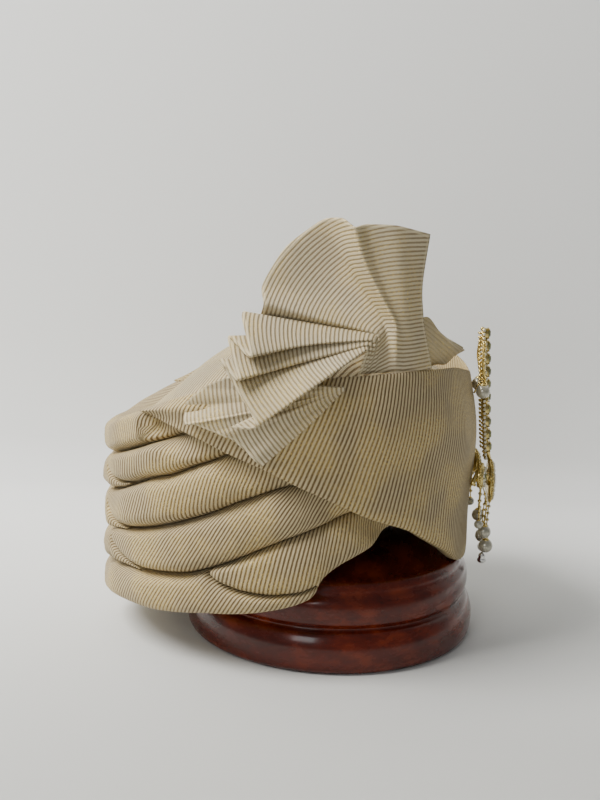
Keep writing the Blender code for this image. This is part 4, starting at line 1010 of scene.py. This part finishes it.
def plume(gold, olive, clear):
    """The plume: a spine with stacked collets, and a chain of small stones down each side."""
    shares = np.linspace(*PLUME_SHARES, PLUME_STONES)
    foot = brooch_front(MEDALLION_SHARE) + (0, 0, SPINE_FOOT * MEDALLION_RADIUS)
    spine = [foot + (SPINE_RADIUS, 0, 0)] + [brooch_front(share) + (SPINE_RADIUS, 0, 0) for share in shares]
    gold.append(rod(spine, SPINE_RADIUS))
    length = 0.43 * (shares[1] - shares[0]) * BROOCH_HEIGHT
    wide = COLLET_WIDTH / 2
    for share in shares:
        centre = brooch_front(share)
        gold.append(stacked(centre, AHEAD, COLLET, OCTAGON, wide, length, COLLET_DEPTH))
        olive.append(stacked(centre, AHEAD, PLUME_STONE, OCTAGON, wide, length))
        for side in (-1, 1):
            for up in (-0.8, 0.8):
                place = centre + (COLLET_DEPTH * 1.1, side * wide * 0.82, up * length)
                gold.append(bead(place, 0.00055))
    for side in (-1, 1):
        out = np.array([0.35, side * 0.9, 0.0])
        for share in np.linspace(PLUME_SHARES[0] - 0.06, PLUME_SHARES[1] + 0.02, 32):
            place = brooch_front(share) + (-0.0002, side * (wide + 0.0008), 0)
            set_stone(gold, clear, place, out, out * 0.0010, 0.0014, (0.0011, 0.0007))
        for share in np.linspace(*PLUME_SHARES, 28):
            gold.append(bead(brooch_front(share) + (-0.0026, side * wide * 0.6, 0), 0.0009))


def sprigs(gold, clear):
    """Two curled sprigs beside the plume with pairs of small leaves."""
    steps = spline(((0.0, 0.58), (0.29, 0.69), (0.52, 0.84), (0.42, 0.95)), 25)
    for side in (-1, 1):
        line = np.array([toward_band(out, side, share, 2 * WIRE_RADIUS) for out, share in steps])
        gold.append(rod(line, np.linspace(0.0011, 0.0007, len(line))))
        for index in range(3, 25, 2):
            for swing in (-1, 1):
                place = line[index] + (0.0008, swing * 0.0016, 0.0008)
                out = (1.0, swing * 0.5 + side * 0.3, 0.0)
                gold.append(stacked(place, out, LEAF, circle(8), 0.0011, 0.0019))
                clear.append(round_stone(place + (0.0005, 0, 0), out, 0.0008, 0.0006))


def medallion(gold, olive, clear, centre_stone):
    """The round medallion with its centre stone, two lobes and wings, edged with beads."""
    middle = brooch_front(MEDALLION_SHARE)
    rim = MEDALLION_RADIUS
    gold.append(stacked(middle, AHEAD, DISC, circle(48), rim))
    for count, share, size, lift in ((44, 0.955, 0.0009, 0.0018), (30, 0.66, 0.0006, 0.0026)):
        for place in around(middle + (lift, 0, 0), AHEAD, share * rim, count):
            gold.append(bead(place, size))
    for place in around(middle + (0.0022, 0, 0), AHEAD, 0.81 * rim, 22):
        set_stone(gold, clear, place, AHEAD, (0.0010, 0, 0), 0.0016, (0.0014, 0.0009))
    turn = np.linspace(0, 2 * math.pi, 41)
    ring = np.stack([0 * turn + 0.0032, np.cos(turn) * CENTRE_STONE_RADIUS,
                     np.sin(turn) * CENTRE_STONE_RADIUS], axis=1)
    gold.append(rod(middle + ring, 0.0009, loop=True))
    centre_stone.append(stacked(middle + (0.0024, 0, 0), AHEAD, CENTRE_STONE, circle(16),
                                CENTRE_STONE_RADIUS))
    for side in (-1, 1):
        steps = spline(((0.35, 0.17), (0.6, 0.24), (0.85, 0.26), (1.0, 0.20)), 17)
        wing = np.array([toward_band(out, side, share, WING_RADIUS) for out, share in steps])
        gold.append(rod(wing, WING_RADIUS * 0.75))
        for place in wing[::2]:
            gold.append(bead(place + (WING_RADIUS * 0.8, 0, 0), 0.0011))
        lobe = toward_band(LOBE_PLACE[0], side, LOBE_PLACE[1], WING_RADIUS) - (WING_RADIUS, 0, 0)
        out = np.array([1.0, side * 0.25, 0.0])
        gold.append(stacked(lobe, out, LOBE, circle(32), LOBE_RADIUS))
        olive.append(round_stone(lobe + out * 0.0040, out, 0.0034, 0.0016))
        for place in around(lobe + out * 0.0022, out, LOBE_RADIUS * 0.97, 28):
            gold.append(bead(place, 0.0010))
        for place in around(lobe + out * 0.0036, out, LOBE_RADIUS * 0.68, 28)[1::2]:
            set_stone(gold, clear, place, out, out * 0.0006, BEAD_RADIUS, (0.0011, 0.0008))


def medallion_root(name, side):
    """Where a pearl's wire leaves the medallion."""
    aside, below = MEDALLION_WIRES[name]
    return brooch_front(MEDALLION_SHARE) + (COLLET_DEPTH * 0.35, side * aside * MEDALLION_RADIUS,
                                            -below * MEDALLION_RADIUS)


def hang_pearls(gold, clear, look):
    """Pearls under little caps on beaded wires, and the string below the medallion."""
    def strung(node, centre, radius):
        joined("soft_" + node, [bead(centre, radius, 24, 15)], look, [node])
        cap = centre + (0, 0, 0.86 * radius)
        gold.append(stacked(cap, UPRIGHT, CAP, circle(10), radius, deep=radius))

    for name in ("upper", "middle", "outer", "end"):
        for label, side in (("right", -1), ("left", 1)):
            centre, radius = pearl_place(name, side)
            strung(f"pearl_{name}_{label}", centre, radius)
            end = centre + (0, 0, 1.1 * radius)
            if name == "upper":
                root = toward_band(0.29, side, 0.69, WIRE_RADIUS)
                gold.append(rod([root, (root + end) / 2 + (0.0006, 0, 0), end], PEARL_WIRE, 6))
                continue
            if name in MEDALLION_WIRES:
                root = medallion_root(name, side)
            else:
                aside, below = LOBE_WIRES[name]
                root = toward_band(LOBE_PLACE[0], side, LOBE_PLACE[1], WING_RADIUS)
                root += (0, side * aside * LOBE_RADIUS, -below * LOBE_RADIUS)
            wire = spline([root, (end[0], end[1], (root[2] + end[2]) / 2), end], 13)
            gold.append(rod(wire, PEARL_WIRE, 6))
            for place in wire[2:-1:2]:
                set_stone(gold, clear, place, (1.0, side * 0.4, 0.0), (0.0007, 0, 0), BEAD_RADIUS,
                          (0.0010, 0.0006))
    centre, radius = pearl_place("centre_top", 0)
    gold.append(rod([medallion_root("centre_top", 0), centre + (0, 0, radius)], PEARL_WIRE, 6))
    strung("pearl_centre_top", centre, radius)
    for name, size in CENTRE_STRING.items():
        below = size * PEARL_RADIUS
        centre = centre - (0, 0, radius + below + CLEAR)
        radius = below
        strung(f"pearl_{name}", centre, radius)
    return centre - (0, 0, radius + CLEAR)


def make_brooch(looks):
    """The whole brooch in metal, cut stones and pearls."""
    gold, olive, clear, centre_stone = [], [], [], []
    plume(gold, olive, clear)
    sprigs(gold, clear)
    medallion(gold, olive, clear, centre_stone)
    tip = hang_pearls(gold, clear, looks["pearl"])
    drop = stacked(tip, UPRIGHT, DROP, circle(20), DROP_HEIGHT, deep=DROP_HEIGHT)
    joined("soft_brooch_drop", [drop], looks["silver_metal"], ["brooch_drop"])
    low, top = brooch_front(0.52), brooch_front(0.70)
    back = np.array([-(WIRE_RADIUS + CLEAR), 0, 0])
    tip_height = (low + (top - low) * 0.75)[2]
    face = band_face(0.0, tip_height) + WIRE_RADIUS + CLEAR
    hook = [low + back, (low + top) / 2 + back, (((low + back)[0] + face) / 2, 0, top[2]),
            (face, 0, tip_height)]
    joined("soft_brooch_pin", [rod(spline(hook, 25), WIRE_RADIUS)],
           looks["gold_metal"], ["brooch_pin"])
    joined("soft_brooch_frame", gold, looks["gold_metal"], ["brooch_frame"])
    joined("soft_plume_stones", olive, looks["olive_stone"], ["brooch_plume_stones"],
           False)
    joined("soft_centre_stone", centre_stone, looks["clear_stone"],
           ["brooch_centre_stone"], False)
    joined("small_stones", clear, looks["clear_stone"], (), False)


def camera():
    """The camera at the photograph's angle."""
    pitch, roll, yaw = (math.radians(value) for value in (11.403, -1.993, -1.806))
    level = Vector((math.cos(yaw), -math.sin(yaw), 0))
    ahead = Vector((math.sin(yaw), math.cos(yaw), 0))
    forward = ahead * math.cos(pitch) - Vector((0, 0, math.sin(pitch)))
    above = ahead * math.sin(pitch) + Vector((0, 0, math.cos(pitch)))
    right = level * math.cos(roll) - above * math.sin(roll)
    up = level * math.sin(roll) + above * math.cos(roll)
    turn = Matrix((right, up, -forward)).transposed().to_4x4()
    lens = bpy.data.cameras.new("camera")
    lens.sensor_width = 36
    lens.lens = 54
    seen = put("camera", lens)
    seen.matrix_world = Matrix.Translation((0, -0.8258, 0.3274)) @ turn
    bpy.context.scene.camera = seen


def studio():
    """Pale table and wall with painted shade toward the front, one wide soft light from the upper left, a
    weak fill and an even sky.
    """
    look = Look("table paint with painted shade", roughness=0.75)
    # Painted shade: the table's colour darkens toward the front, standing in for the light falling off there
    depth = look.node("SeparateXYZ", None, {0: look.place()}).output(1)
    look.set(base_color=look.mix(look.limit(depth * -1.0, -0.25, 0.35), (0.84, 0.845, 0.825),
                                 (0.50, 0.50, 0.475)))
    profile = ((-3.0, 0.0), (0.19, 0.0), (0.235, 0.004), (0.262, 0.022), (0.275, 0.06), (0.28, 0.15),
               (0.28, 3.0))
    points = [[(x, y, z) for y, z in profile] for x in (-3.0, 3.0)]
    mesh = new_mesh("backdrop", np.array(points), grid_faces(2, len(profile)))
    mesh.materials.append(look.material)
    mesh.shade_smooth()
    put("backdrop", mesh)
    for name, place, size, power, tint in (
            ("key", (-1.15, -0.45, 1.55), 0.9, 62.0, (1.0, 0.985, 0.955)),
            ("fill", (-0.5, -1.5, 0.75), 0.5, 4.5, (0.98, 0.99, 1.0))):
        lamp = bpy.data.lights.new(name, "AREA")
        lamp.size = size
        lamp.energy = power
        lamp.color = tint
        light = put(name, lamp)
        light.location = place
        light.rotation_euler = (Vector((0, 0, 0.12)) - Vector(place)).to_track_quat("-Z", "Y").to_euler()
    world = bpy.data.worlds.new("sky")
    bpy.context.scene.world = world
    world.use_nodes = True
    sky = world.node_tree.nodes["Background"]
    sky.inputs[0].default_value = (0.93, 0.95, 1.0, 1.0)
    sky.inputs[1].default_value = 0.22


def dress_nodes():
    """Give each solid that stays its own material."""
    looks = {
        "varnished_wood": varnished_wood("varnished wood"),
        "gold_metal": gold_metal("gold plating"),
        "olive_stone": cut_stone("olive stone", (0.24, 0.24, 0.05), (0.10, 0.11, 0.02)),
        "clear_stone": cut_stone("clear stone", (0.80, 0.76, 0.60), (0.55, 0.50, 0.34)),
        "pearl": pearl_look("pearl lustre"),
        "silver_metal": gold_metal("silver plating", (0.82, 0.81, 0.79)),
    }
    for part in frame["record"]["subparts"]:
        look = looks.get(part["material_slot"])
        if look:
            node = frame["nodes"][part["node"]]
            node.data.materials.clear()
            node.data.materials.append(look)
    return looks


def main():
    """Light the scene and put every piece in."""
    camera()
    studio()
    looks = dress_nodes()
    ribbed = tissue("ribbed tissue")
    for name in ROLLS:
        make_roll(name, ribbed)
    make_band(ribbed)
    make_crown(tissue("crown tissue", 1.0, (0.58, 0.49, 0.31), (0.17, 0.11, 0.04)))
    # The fan's paler colours are painted light, standing in for light shining through the thin leaves from
    # behind; its weaker ribs and slight sheerness are the cloth's own
    open_cloth_painted_light = tissue("fan tissue with painted light", 0.74, (0.66, 0.565, 0.375), (0.18, 0.11, 0.035), 0.10, True)
    make_fan(open_cloth_painted_light)
    make_leaf(open_cloth_painted_light)
    make_front_fold(tissue("plain tissue", 0.25))
    turned_stand(looks["varnished_wood"])
    make_brooch(looks)


main()
